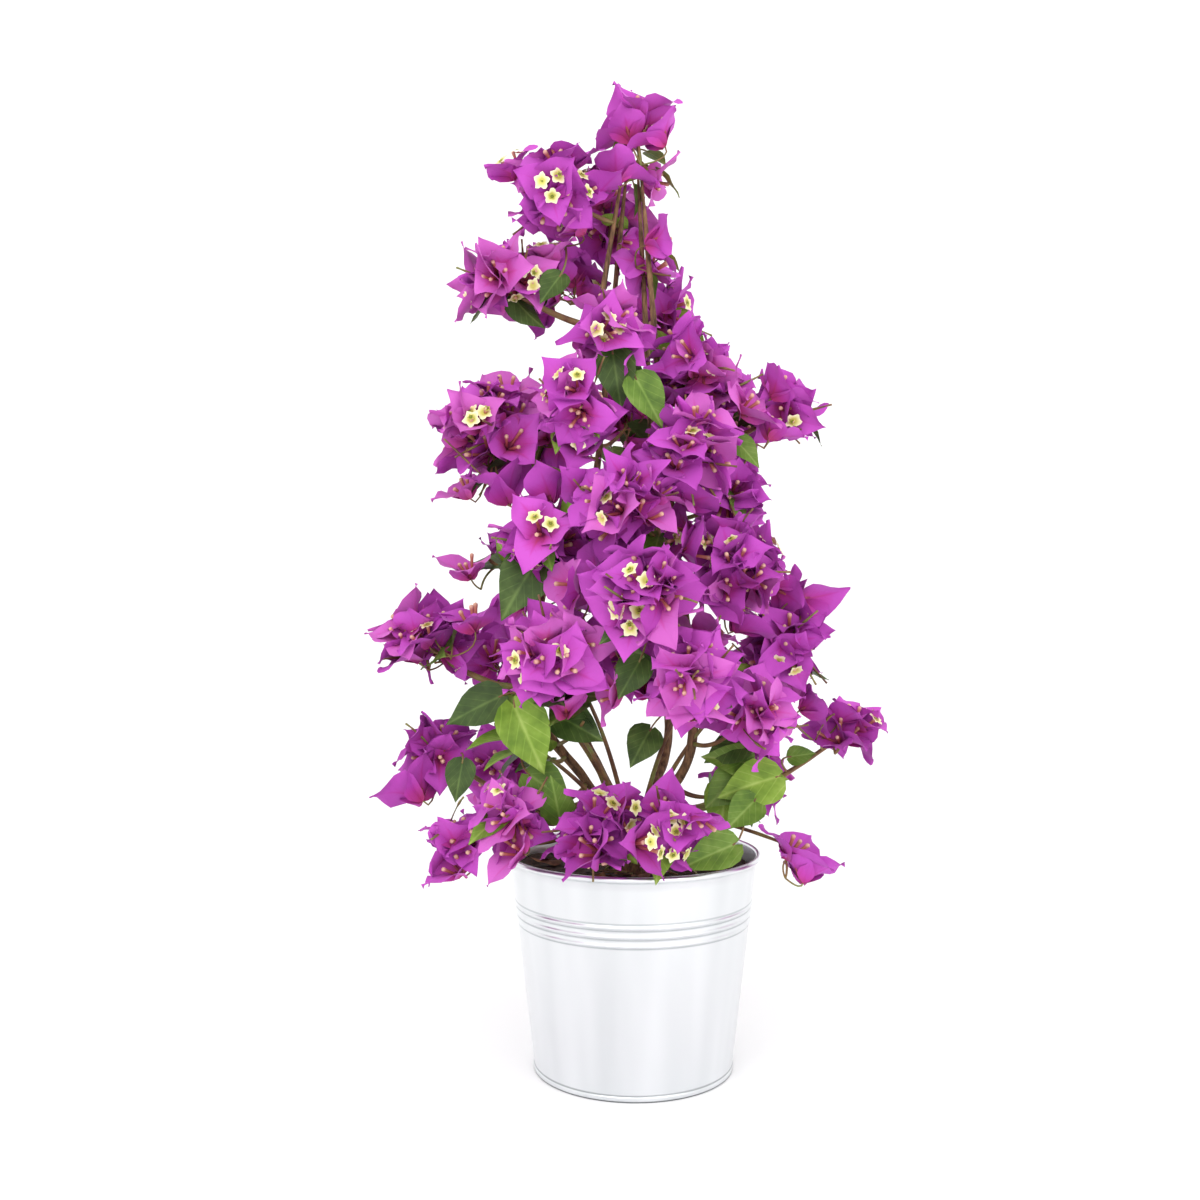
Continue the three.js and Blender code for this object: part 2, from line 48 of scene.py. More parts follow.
CLEAR = 0.3  # clearance between neighbouring pieces
POT_HEIGHT, RIM_RADIUS, FOOT_RADIUS, SHEET = 171, 98.5, 78.2, 1
ROLL_RADIUS, SEAM_HEIGHT, SEAM_DEPTH, POT_FLOOR = 2.2, 4, 0.8, 1.2
BEAD_HEIGHTS, BEAD_HALF_WIDTH, BEAD_DEPTH = (119, 125.8, 132.6), 2, 1.1
SOIL_TOP = 156
TRUNK_FLARE, TRUNK_WAIST, TRUNK_TOP = 17, 12, 184
STEM = dict(foot_ring=6.6, foot_radius=4.2, low_reach=0.5, low_rise=0.42, tip_radius=1.7, tip_reach=7,
            tip_height=722, samples=120)

# Name, azimuth of the foot, then azimuth, reach and height of the widest place.
STEMS = [
    ("stem_left", 195, 190, 80, 292),
    ("stem_right", 285, -42, 58, 255),
    ("stem_back", 15, 59, 58, 250),
    ("stem_rear_left", 105, 130, 75, 285),
]

# The sprays of the front and sides: azimuth and reach of the centre from the plant's axis, its height, the
# radius of the space that the spray fills, its blooms and leaves, and whether a bough of its own carries it.
SPRAYS = [
    ("top", -68, 5, 748, 41, 3, 1, False),
    ("upper_left", -158, 68, 692, 55, 9, 2, False),
    ("upper_right", 10, 14, 712, 36, 1, 3, False),
    ("shoulder_left", -169, 102, 616, 47, 7, 2, True),
    ("shoulder_right", 22, 18, 642, 38, 4, 1, False),
    ("breast_left", -118, 57, 572, 48, 8, 0, False),
    ("breast_right", -29, 63, 551, 54, 10, 1, False),
    ("wing_right", 0, 119, 522, 43, 7, 1, True),
    ("wing_left", -170, 112, 498, 57, 11, 0, True),
    ("middle_left", -118, 80, 516, 46, 7, 2, False),
    ("middle_right", -60, 81, 480, 48, 8, 1, False),
    ("flank_right", -14, 79, 453, 43, 6, 1, False),
    ("middle_front", -93, 88, 437, 50, 8, 0, False),
    ("flank_left", -139, 91, 415, 50, 7, 2, False),
    ("dart_left", 180, 115, 403, 35, 2, 1, False),
    ("far_left", -176, 164, 334, 51, 10, 1, True),
    ("belly_left", -122, 107, 326, 52, 8, 1, False),
    ("belly_front", -88, 122, 374, 50, 8, 0, False),
    ("belly_right", -43, 105, 393, 50, 8, 0, False),
    ("hip_right", -14, 122, 334, 48, 8, 1, False),
    ("hip_front", -74, 128, 316, 46, 7, 1, False),
    ("thigh_right", -44, 113, 284, 46, 7, 1, False),
    ("far_right", -3, 166, 264, 43, 7, 1, True),
    ("low_far_left", -173, 151, 251, 44, 7, 1, True),
    ("skirt_far_left", -156, 148, 190, 44, 7, 0, False),
    ("skirt_left", -137, 117, 212, 44, 6, 1, False),
    ("skirt_front", -110, 98, 200, 44, 6, 0, False),
    ("skirt_middle", -78, 92, 203, 44, 6, 0, False),
    ("skirt_right", -18, 126, 182, 41, 4, 1, False),
    ("leafy_left", -151, 100, 264, 48, 0, 5, False),
    ("leafy_right", -31, 96, 228, 48, 0, 5, False),
    ("leafy_middle", -120, 78, 280, 36, 0, 2, False),
]

# The sprays of the back, spread evenly over each tier's azimuths: name, height, reach, size, from, to, count.
BACK_TIERS = [
    ("top", 684, 46, 46, 112, 112, 1),
    ("upper", 610, 66, 49, 68, 146, 2),
    ("high", 515, 96, 54, 42, 138, 3),
    ("middle", 415, 112, 54, 42, 138, 3),
    ("low", 312, 130, 54, 34, 148, 3),
    ("skirt", 214, 130, 47, 40, 150, 2),
]
BACK_BLOOMS_PER_MM, BACK_LEAVES, BACK_STAGGER = 0.12, 2, 12

SHOOT = dict(root_radius=2.3, tip_radius=1.6, bend=0.4, fork=0.6)
BOUGH = dict(root_radius=3)
ROOTS = dict(start=0.04, stop=0.96, step=0.01, apart=8, climb=0.35, droop_cost=1.5, samples=24, foot=6.5, margin=2)
UPWARD = 0.3  # how far sprays turn up to the light
AXIAL = 10  # a spray this near the plant's axis grows straight up
SEED = 1000

# ---------------------------------------------------------------- sizes of the fine growth

BLOOM_SHARE = 1.95  # blooms here for each one of the solid model, which are fewer and larger
LEAF_SHARE, LEAF_EXTRA = 1.1, 1
BRACT_LENGTH = 39
BRACT_HALF_WIDTH = 0.44  # as a share of the length
BRACT_OUTLINE = [(0, 0.22), (0.06, 0.6), (0.16, 0.88), (0.29, 1), (0.43, 0.98), (0.57, 0.82), (0.7, 0.57),
                 (0.82, 0.31), (0.92, 0.12), (1, 0)]
BRACT_OPENING = 62  # degrees between a bloom's axis and the middle of a bract
LEAF_LENGTH = 50
LEAF_HALF_WIDTH = 0.41
LEAF_OUTLINE = [(0, 0.14), (0.05, 0.58), (0.15, 0.9), (0.28, 1), (0.43, 0.94), (0.58, 0.76), (0.73, 0.5),
                (0.87, 0.22), (1, 0)]
ACROSS = 7  # points across a bract or leaf
BLOOM_KINDS, LEAF_KINDS = 8, 6
BLOOM = dict(
    widest=118,  # degrees from a spray's outward direction
    sizes=(0.88, 1.12), deepest=0.64, scatter=0.24,  # the last two as shares of the spray's size
    head=0.4,  # where a bloom's middle lies along its axis, as a share of its length
    away=0.75, outward=0.4, up=0.4, loose=0.8,  # what its axis is made up of
    room=7, least_room=0.6, apart=36, least_apart=14,
    gain_apart=0.9, gain_wall=0.02, gain_outward=0.3,  # what counts for a place besides its room
)
LEAF = dict(
    stalk=(7, 13), sizes=(0.65, 1.1), young_sizes=(0.3, 0.6),
    spread=0.65, droop=0.9, outward=(0.4, 1.8), loose=0.2,  # how leaves turn out, down and to the light
    room=9, least_room=2.5, gain_wall=0.1,
)
WATCHED = 150  # blooms and leaves keep clear of all that stands this near their spray's centre
STEM_ROOM = 4  # and they keep this far from the stems
POT_ROOM = dict(inside=6, outside=5, over_soil=4, over_rim=2)  # and from the rim's circle, compost and rim
LEAF_MIDDLE, LEAF_SHOWN = 0.45, 0.24  # the part of a leaf in the open that stays in sight, as shares of its length
LEAF_DEPTH = 4  # and nothing further than this behind its middle hides it
FREE = 99.0  # stands for the distance to something when there is nothing
NO_PLACE = -9  # the score of a place that can't be used
OVERHANG = 0.5  # bracts may stand this far out of the ball round their spray
CLOSING = 9  # and this far past the walls between neighbouring sprays, so that the masses close up
STAR_SHARE = 0.22  # of the blooms have flowers open
GROUP = 3  # blooms that share one flower stalk
# Radii of the fine growth, where it starts and where it ends.
TWIG = dict(young_shoot=(2.2, 1.4), fork=(1.15, 0.85), stalk=(0.75, 0.7), leaf_stalk=(0.75, 0.65), open_leaf=(1, 0.7))
FORK = dict(below=13, share=0.8, bend=0.25)  # how far below its blooms a stalk forks, and how it bends to there
BLOOM_TINTS = [0.2, 0.34, 0.3, 0.16]  # shares of violet, magenta, orchid and pink
LEAF_TINTS, YOUNG_TINTS = [0.25, 0.4, 0.35], [0.7, 0.3, 0]  # shares of fresh, green and shaded
FALLEN_LEAVES, DRY_TWIGS = 26, 22
SPENT_SHARE = 0.5  # bare stalks with a spent flower, for each bloom of the solid model
SPENT = [0.75, 0.6, 0.55, 0.5, 0.5, 0.5, 0.55, 0.95, 1.15, 0.95, 0.7, 0.9]  # radii along such a stalk
YOUNG_ABOVE = 630  # sprays above this height have small fresh leaves

EYE = np.array([-26.5, -1000, 371])  # where the camera stands

# Where light comes through or past the plant, seen from the front: centre in X and Z, half the width and height.
OPENINGS = [
    (0, 253, 27, 27), (98, 612, 45, 45), (98, 576, 20, 18), (-112, 574, 38, 18), (-198, 302, 28, 20),
    (-156, 289, 20, 12), (-124, 383, 24, 11), (-118, 436, 26, 12), (-176, 492, 20, 24), (-74, 758, 26, 18),
    (-40, 752, 13, 11), (-28, 778, 13, 17), (-104, 690, 24, 13), (-52, 600, 12, 18), (146, 560, 26, 16),
    (55, 670, 24, 18), (58, 634, 17, 20), (40, 728, 11, 30), (134, 427, 28, 20), (126, 481, 24, 12),
    (-186, 163, 26, 22), (-152, 209, 18, 7), (145, 196, 20, 12), (145, 137, 30, 14), (112, 147, 15, 13),
    (185, 303, 24, 14), (158, 322, 16, 11), (170, 240, 32, 9), (-198, 375, 26, 12),
]

# Blooms that close the plant where sprays stand apart: places of their middles.
CLOSING_BLOOMS = [
    (4, -8, 766), (-10, -8, 752), (20, -6, 742), (-8, -24, 716), (-30, -16, 700), (-96, -16, 716), (-76, -18, 680),
    (-72, -28, 650), (-52, -24, 663), (26, -20, 650), (-98, -20, 544), (-146, -14, 522), (112, -24, 544),
    (-136, -22, 466), (-104, -34, 464), (-70, -50, 462), (-40, -72, 486), (-40, -76, 450), (48, -74, 450),
    (-130, -10, 403), (30, -80, 420), (44, -84, 408), (-38, -80, 384), (-52, -92, 376), (-122, -38, 360),
    (-98, -44, 368), (116, -35, 379), (134, -30, 372), (80, -85, 356), (57, -92, 352), (-20, -104, 306),
    (8, -104, 308), (-48, -90, 300), (142, -28, 292), (-168, -34, 226), (-4, -105, 222), (-164, -40, 188),
    (4, -122, 204), (46, -112, 204), (120, -50, 206), (-40, -112, 196), (-94, -98, 190), (98, -66, 176),
    (132, -44, 168), (-140, -66, 172), (92, -42, 520), (106, -34, 508),
]

# Thin young shoots from the trunk that rise in front of the stems: where each ends, and how far it bows forwards.
YOUNG_SHOOTS = [
    ((-62, -46, 288), 10), ((-84, -40, 262), 16), ((-38, -52, 300), 6), ((66, -48, 290), 12), ((38, -44, 296), 8),
    ((-50, -50, 280), 14),
]

# Leaves that stand in the open: where the blade starts, how far off its tip lies, and its tint.
OPEN_LEAVES = [
    ((-90, -78, 293), (23, -8, -50), 0), ((-58, -58, 284), (34, -10, -18), 2),
    ((12, -45, 272), (-16, -18, -24), 2), ((84, -48, 264), (-32, -12, -14), 2),
    ((82, -55, 240), (-30, -12, -22), 1), ((-80, -62, 240), (32, -12, -20), 1),
    ((-56, -80, 209), (-5, -15, 32), 1), ((-132, -40, 247), (-5, -12, -29), 2),
    ((107, -60, 238), (-45, -14, -10), 0), ((89, -50, 246), (-37, -12, 10), 1),
    ((89, -70, 222), (-23, -20, -17), 1), ((71, -95, 194), (-40, -12, -13), 1),
    ((122, -20, 248), (20, -5, 4), 1), ((2, -110, 328), (-16, -12, -26), 2),
    ((-72, -60, 404), (-30, -12, -46), 2), ((-17, -66, 556), (6, -8, -42), 2),
    ((0, -70, 536), (20, -12, -36), 1), ((77, -45, 493), (17, -12, -19), 1),
    ((-103, -40, 297), (-42, -8, -19), 2), ((-57, -30, 623), (-16, -10, -23), 2),
]

UP = np.array([0.0, 0, 1])
CIRCLE = 2 * math.pi  # a full turn


# ---------------------------------------------------------------- vectors and curves

def unit(v):
    return v / np.maximum(np.linalg.norm(v, axis=-1, keepdims=True), 1e-9)


def around(turn, reach=1.0, height=0.0):
    """Points at a turn and a reach from the axis, which is the plant's own or a small shape's."""
    return np.stack(np.broadcast_arrays(reach * np.cos(turn), reach * np.sin(turn), height), -1)


def from_axis(azimuth, reach, height):
    return around(math.radians(azimuth), reach, height)


def turned_off(turns, middle):
    """How far turns lie from a middle one, the short way round."""
    return (turns - middle + math.pi) % CIRCLE - math.pi


def turned_to(along, face):
    """A rotation whose +X runs along and whose +Z leans as near a face as it can."""
    right = unit(np.cross(face, along))
    return np.stack([along, right, np.cross(along, right)], -1)


def sideways(direction):
    """Two unit vectors square to a direction and to each other."""
    reference = UP if abs(direction[2]) < 0.9 else np.array([1.0, 0, 0])
    u = unit(np.cross(reference, direction))
    return u, np.cross(direction, u)


class Curve:
    """A curve with its length measured, so that it can be read at shares of that length."""

    def __init__(self, point_at, divisions=200):
        self.point_at = point_at
        self.parameters = np.linspace(0, 1, divisions + 1)
        steps = np.linalg.norm(np.diff(point_at(self.parameters), axis=0), axis=1)
        self.lengths = np.concatenate([[0], np.cumsum(steps)])
        self.length = self.lengths[-1]

    def parameter(self, share):
        return np.interp(np.atleast_1d(share) * self.length, self.lengths, self.parameters)

    def at(self, share):
        return self.point_at(self.parameter(share))

    def along(self, share):
        t = self.parameter(share)
        return unit(self.point_at(np.minimum(t + 1e-4, 1)) - self.point_at(np.maximum(t - 1e-4, 0)))


def smooth_curve(points):
    """A centripetal Catmull-Rom curve through the points."""
    points = np.array(points, float)
    knots = np.concatenate([[2 * points[0] - points[1]], points, [2 * points[-1] - points[-2]]])
    gaps = np.sqrt(np.linalg.norm(np.diff(knots, axis=0), axis=1))
    last = len(points) - 1

    def point_at(t):
        place = np.clip(np.atleast_1d(t), 0, 1) * last
        i = np.minimum(place.astype(int), last - 1)
        w = (place - i)[:, None]
        p0, p1, p2, p3 = (knots[i + k] for k in range(4))
        g0, g1, g2 = (gaps[i + k][:, None] for k in range(3))
        leave = ((p1 - p0) / g0 - (p2 - p0) / (g0 + g1) + (p2 - p1) / g1) * g1
        arrive = ((p2 - p1) / g1 - (p3 - p1) / (g1 + g2) + (p3 - p2) / g2) * g1
        return p1 + w * (leave + w * (3 * (p2 - p1) - 2 * leave - arrive + w * (2 * (p1 - p2) + leave + arrive)))

    return Curve(point_at)


def bent_curve(start, bend, end, divisions=200):
    def point_at(t):
        t = np.atleast_1d(t)[:, None]
        return (1 - t) ** 2 * start + 2 * t * (1 - t) * bend + t ** 2 * end

    return Curve(point_at, divisions)


# ---------------------------------------------------------------- stems, sprays and shoots, by the solids' rule

class Stem:
    """A main stem: it leaves the trunk, bows out to its widest place and comes back in to its tip."""

    def __init__(self, name, foot_azimuth, azimuth, reach, height):
        self.name = name
        foot = from_axis(foot_azimuth, STEM["foot_ring"], TRUNK_TOP + CLEAR)
        low = from_axis(azimuth, STEM["low_reach"] * reach, foot[2] + STEM["low_rise"] * (height - foot[2]))
        wide = from_axis(azimuth, reach, height)
        tip = from_axis(azimuth, STEM["tip_reach"], STEM["tip_height"])
        self.curve = smooth_curve([foot, low, wide, (wide + tip) / 2, tip])
        self.course = self.curve.at(np.linspace(0, 1, STEM["samples"] + 1))


def stem_radius(share):
    return STEM["foot_radius"] + (STEM["tip_radius"] - STEM["foot_radius"]) * share


class Spray:
    """A mass of blossom and leaves about the end of its own shoot."""

    def __init__(self, name, azimuth, reach, height, size, blooms, leaves, bough):
        self.name, self.size, self.blooms, self.leaves, self.bough = name, size, blooms, leaves, bough
        self.centre = from_axis(azimuth, reach, height)
        level = np.array([self.centre[0], self.centre[1], 0])
        far = np.linalg.norm(level)
        self.outward = unit(level / far + UPWARD * UP) if far > AXIAL else UP


stems = [Stem(*row) for row in STEMS]
sprays = [Spray(*row) for row in SPRAYS]
for tier, height, reach, size, first, last, count in BACK_TIERS:
    for k in range(count):
        azimuth = first if count == 1 else first + (last - first) * k / (count - 1)
        blooms = round(size * BACK_BLOOMS_PER_MM)
        row = (f"back_{tier}_{k + 1}", azimuth, reach, height + BACK_STAGGER * (k % 2), size, blooms, BACK_LEAVES)
        sprays.append(Spray(*row, False))

CENTRES = np.array([spray.centre for spray in sprays])
SIZES = np.array([spray.size for spray in sprays])


def depths_in_space(spray, points):
    """How far points lie inside a spray's space, which is a ball cut by a flat wall to each neighbour.

    The depth inside the ball comes first, and then the depth behind the nearest wall.
    """
    power = ((points[..., None, :] - CENTRES) ** 2).sum(-1) - SIZES ** 2
    own = sprays.index(spray)
    others = np.arange(len(sprays)) != own
    between = np.linalg.norm(CENTRES[others] - spray.centre, axis=1)
    walls = (power[..., others] - power[..., own, None]) / (2 * between)
    return spray.size - np.linalg.norm(points - spray.centre, axis=-1), walls.min(-1)


def roots_for(spray):
    """The places where a shoot can leave a stem, cheapest first: the nearest, and sooner climbing than drooping."""
    roots = []
    shares = np.arange(ROOTS["start"], ROOTS["stop"] + 1e-9, ROOTS["step"])
    for stem in stems:
        ats, alongs = stem.curve.at(shares), stem.curve.along(shares)
        for share, at, along in zip(shares, ats, alongs):
            out = spray.centre - at
            reach = np.linalg.norm(out)
            droop = max(0, at[2] - spray.centre[2] + ROOTS["climb"] * reach)
            out = unit(out - along * out.dot(along))
            roots.append((reach + ROOTS["droop_cost"] * droop, stem, at, out, stem_radius(share) + CLEAR))
        tip = stem.curve.at(1)[0]
        roots.append((np.linalg.norm(tip - spray.centre), stem, tip, stem.curve.along(1)[0], CLEAR))
    return sorted(roots, key=lambda root: root[0])


def spread(course, other):
    """Distances from every point of one course to every point of another."""
    return np.linalg.norm(course[:, None] - other[None], axis=-1)


def root_shoot(spray, placed):
    """Gives a spray the first root whose shoot runs clear of every stem and of the shoots placed before it."""
    radius = (BOUGH if spray.bough else SHOOT)["root_radius"]
    from_stem = radius + stem_radius(np.arange(STEM["samples"] + 1) / STEM["samples"]) + ROOTS["margin"]
    from_shoot = radius + BOUGH["root_radius"] + ROOTS["margin"]
    for _, stem, at, out, clear in roots_for(spray):
        if any(np.linalg.norm(other.root - at) < ROOTS["apart"] for other in placed):
            continue
        start = at + out * clear
        bend = start + out * SHOOT["bend"] * np.linalg.norm(start - spray.centre)
        curve = bent_curve(start, bend, spray.centre)
        course = curve.at(np.linspace(0, 1, ROOTS["samples"] + 1))
        beyond = course[np.linalg.norm(course - course[0], axis=1) > ROOTS["foot"]]
        if any((spread(course, other.course) < from_shoot).any() for other in placed):
            continue
        if any((spread(beyond if its is stem else course, its.course) < from_stem).any() for its in stems):
            continue
        spray.root, spray.curve, spray.course = at, curve, course
        return
    raise RuntimeError(f"no stem has room for the shoot of {spray.name}")


placed = []
for spray in sorted(sprays, key=lambda s: not s.bough):
    root_shoot(spray, placed)
    placed.append(spray)


# ---------------------------------------------------------------- mesh building

def mesh_object(name, vertices, faces, uvs=None):
    """A smooth object from points in millimetres; uvs are given for each vertex."""
    mesh = bpy.data.meshes.new(name)
    mesh.from_pydata((np.asarray(vertices, float) / 1000).tolist(), [], [list(map(int, f)) for f in faces])
    if uvs is not None:
        layer = mesh.uv_layers.new(name="UVMap")
        corner = np.empty(len(mesh.loops), np.int32)
        mesh.loops.foreach_get("vertex_index", corner)
        layer.data.foreach_set("uv", np.asarray(uvs, np.float32)[corner].ravel())
    mesh.polygons.foreach_set("use_smooth", np.ones(len(mesh.polygons), bool))
    mesh.update()
    return bpy.data.objects.new(name, mesh)


class Heap:
    """Meshes gathered into one."""

    def __init__(self):
        self.vertices, self.faces, self.uvs, self.count = [], [], [], 0

    def add(self, vertices, faces, uvs):
        self.vertices.append(np.asarray(vertices, float))
        self.faces.extend([[i + self.count for i in face] for face in faces])
        self.uvs.append(np.asarray(uvs, float))
        self.count += len(vertices)

    def object(self, name):
        return mesh_object(name, np.concatenate(self.vertices), self.faces, np.concatenate(self.uvs))


def grid_faces(rows, columns, wrap):
    across = columns if wrap else columns - 1
    faces = []
    for i in range(rows - 1):
        for k in range(across):
            a, b = i * columns + k, i * columns + (k + 1) % columns
            faces.append((a, b, b + columns, a + columns))
    return faces


def cap_faces(rows, sides):
    """Fans that close a wrapped grid's first and last ring, onto the two points that come after its own."""
    count, last = rows * sides, (rows - 1) * sides
    faces = []
    for k in range(sides):
        after = (k + 1) % sides
        faces += [(count, after, k), (count + 1, last + k, last + after)]
    return faces


def ringed(rows, sides):
    """Faces of a wrapped grid with both ends closed."""
    return grid_faces(rows, sides, True) + cap_faces(rows, sides)


def tube(points, radii, sides, relief=None):
    """A limb along points, its section carried along without twisting. Relief adds to the radius at each place."""
    points, radii = np.asarray(points, float), np.asarray(radii, float)
    along = unit(np.gradient(points, axis=0))
    u, _ = sideways(along[0])
    turns = CIRCLE * np.arange(sides) / sides
    distance = np.concatenate([[0], np.cumsum(np.linalg.norm(np.diff(points, axis=0), axis=1))])
    vertices, uvs = [], []
    for i, (point, direction) in enumerate(zip(points, along)):
        u = unit(u - direction * u.dot(direction))
        v = np.cross(direction, u)
        radius = np.full(sides, radii[i]) + (relief(turns, distance[i], radii[i]) if relief else 0)
        vertices.append(point + radius[:, None] * (np.cos(turns)[:, None] * u + np.sin(turns)[:, None] * v))
        uvs.append(np.stack([turns / CIRCLE, np.full(sides, distance[i] / 10)], -1))
    vertices.append([points[0], points[-1] + along[-1] * radii[-1] * 0.5])
    uvs.append([[0.5, 0], [0.5, distance[-1] / 10]])
    return np.concatenate(vertices), ringed(len(points), sides), np.concatenate(uvs)


# ---------------------------------------------------------------- placing blooms

def outline_at(outline, share):
    return np.interp(share, [s for s, _ in outline], [w for _, w in outline])


def bract_points(turn, opening, across, share, fold=0.36, twist=0.0, ripple=0.0, phase=0.0, curl=52, bow=0.0):
    """Points of one bract of unit length in a bloom's own frame, whose +Z is the bloom's axis.

    The rib leaves the bloom's foot steeply and bends outwards, and aside by its bow. Both halves of the blade fold
    up along it, and their margins run in and out and up and down by the ripple.
    """
    fine = np.linspace(0, 1, 41)
    lean = np.radians(opening - 30 + curl * fine ** 0.85)
    out = np.concatenate([[0], np.cumsum(np.sin((lean[1:] + lean[:-1]) / 2))]) / 40
    rise = np.concatenate([[0], np.cumsum(np.cos((lean[1:] + lean[:-1]) / 2))]) / 40
    angle = np.interp(share, fine, lean)
    radial = around(turn)
    side = np.cross(UP, radial)
    rib = np.interp(share, fine, out)[..., None] * radial + np.interp(share, fine, rise)[..., None] * UP
    inner = -np.cos(angle)[..., None] * radial + np.sin(angle)[..., None] * UP
    wave = CIRCLE * (1.6 * share + phase) + 1.9 * np.sign(across)
    width = BRACT_HALF_WIDTH * outline_at(BRACT_OUTLINE, share) * (1 + 1.6 * ripple * np.cos(wave))
    bend = fold * (1.15 - 0.75 * share)
    aside = (across * width * np.cos(bend) + bow * share ** 2)[..., None] * side
    lift = width * np.abs(across) ** 1.35 * np.sin(bend) + twist * across * width * share
    lift = lift + ripple * np.sin(wave) * across ** 2
    return rib + aside + lift[..., None] * inner


TESTED = [(0.3, 0), (0.55, 0), (0.8, 0), (1, 0), (0.32, -0.9), (0.32, 0.9), (0.65, -0.85), (0.65, 0.85)]
BLOOM_FORM = np.concatenate([
    bract_points(CIRCLE * i / 3, BRACT_OPENING, *np.array([(across, share) for share, across in TESTED]).T)
    for i in range(3)
])
LEAF_FORM = np.array([(0.1, 0, 0), (0.4, 0, 0), (0.7, 0, -0.05), (1, 0, -0.16), (0.25, 0.36, 0.04),
                      (0.25, -0.36, 0.04), (0.6, 0.25, 0), (0.6, -0.25, 0)])

stem_points = np.concatenate([stem.course[::3] for stem in stems])


def seen_from_front(points):
    """Where points show in the plane through the plant's axis to a viewer in front, as X and Z."""
    scale = (0 - EYE[1]) / (points[..., 1] - EYE[1])
    return EYE[0] + (points[..., 0] - EYE[0]) * scale, EYE[2] + (points[..., 2] - EYE[2]) * scale


def in_opening(points):
    """True for points that a viewer in front would see where light comes through."""
    x, z = seen_from_front(points)
    within = [((x - at_x) / wide) ** 2 + ((z - at_z) / high) ** 2 < 1 for at_x, at_z, wide, high in OPENINGS]
    return np.any(within, axis=0)


def hides_leaf(points):
    """True for points that would stand in front of one of the leaves in the open."""
    x, z = seen_from_front(points)
    hidden = np.zeros(x.shape, bool)
    for start, reach, _ in OPEN_LEAVES:
        middle = np.array(start) + LEAF_MIDDLE * np.array(reach)
        at_x, at_z = seen_from_front(middle)
        near = (x - at_x) ** 2 + (z - at_z) ** 2 < (LEAF_SHOWN * np.linalg.norm(reach)) ** 2
        hidden |= near & (points[..., 1] < middle[1] + LEAF_DEPTH)
    return hidden


def in_pot(points):
    """True for points in the pot or nearer to the compost or the rim than they may be."""
    reach = np.hypot(points[..., 0], points[..., 1])
    inside = reach < RIM_RADIUS - POT_ROOM["inside"]
    on_rim = ~inside & (reach < RIM_RADIUS + POT_ROOM["outside"])
    over_soil, over_rim = SOIL_TOP + POT_ROOM["over_soil"], POT_HEIGHT + POT_ROOM["over_rim"]
    return (inside & (points[..., 2] < over_soil)) | (on_rim & (points[..., 2] < over_rim))


def frames_for(axis, spin):
    """Rotation matrices whose third column is the axis."""
    reference = np.where(np.abs(axis[:, 2:]) < 0.9, UP, np.array([1.0, 0, 0]))
    u = unit(np.cross(reference, axis))
    v = np.cross(axis, u)
    c, s = np.cos(spin)[:, None], np.sin(spin)[:, None]
    return np.stack([c * u + s * v, -s * u + c * v, axis], -1)


def away_from(spray, rng, count, widest):
    """Directions on the outer side of a spray, at an angle of up to widest degrees from straight out."""
    u, v = sideways(spray.outward)
    polar = np.arccos(rng.uniform(math.cos(math.radians(widest)), 1, count))[:, None]
    turn = rng.uniform(0, CIRCLE, count)[:, None]
    return np.cos(polar) * spray.outward + np.sin(polar) * (np.cos(turn) * u + np.sin(turn) * v)


class Taken:
    """Points that blooms and leaves already hold, in a batch with its middle for each of them."""

    def __init__(self):
        self.middles, self.batches = [], []

    def near(self, spray):
        far = np.linalg.norm(np.array(self.middles) - spray.centre, axis=1)
        return np.concatenate([np.empty((0, 3))] + [self.batches[i] for i in np.flatnonzero(far < WATCHED)])

    def add(self, middle, points):
        self.middles.append(middle)
        self.batches.append(points)


taken = Taken()
heads = []
leaves = []
for start, reach, tint in OPEN_LEAVES:
    start, reach = np.array(start, float), np.array(reach, float)
    turn = turned_to(unit(reach), np.array([0, -1, 0.45]))
    leaves.append(dict(base=start, turn=turn, size=np.linalg.norm(reach) / LEAF_LENGTH, tint=tint))
    taken.add(start + reach / 2, start + LEAF_FORM @ turn.T * np.linalg.norm(reach))


def gap_to(points, others):
    """The least distance from each try's points to any of the others."""
    if not len(others):
        return np.full(len(points), FREE)
    flat = points.reshape(-1, 3)
    squares = ((flat ** 2).sum(1)[:, None] + (others ** 2).sum(1)[None] - 2 * flat @ others.T).min(1)
    return np.sqrt(np.maximum(squares.reshape(len(points), -1).min(1), 0))


def shown(turns, form, base, lengths):
    """A form's points at each place that is tried."""
    return base[:, None] + np.einsum("nij,pj->npi", turns, form) * lengths[:, None, None]


def fits(points, towards_stems):
    """True for the tries of which no point is in an opening, in the pot, before a leaf in the open or by a stem."""
    blocked = (in_opening(points) | in_pot(points) | hides_leaf(points)).any(1)
    return ~blocked & (gap_to(towards_stems, stem_points) > STEM_ROOM)


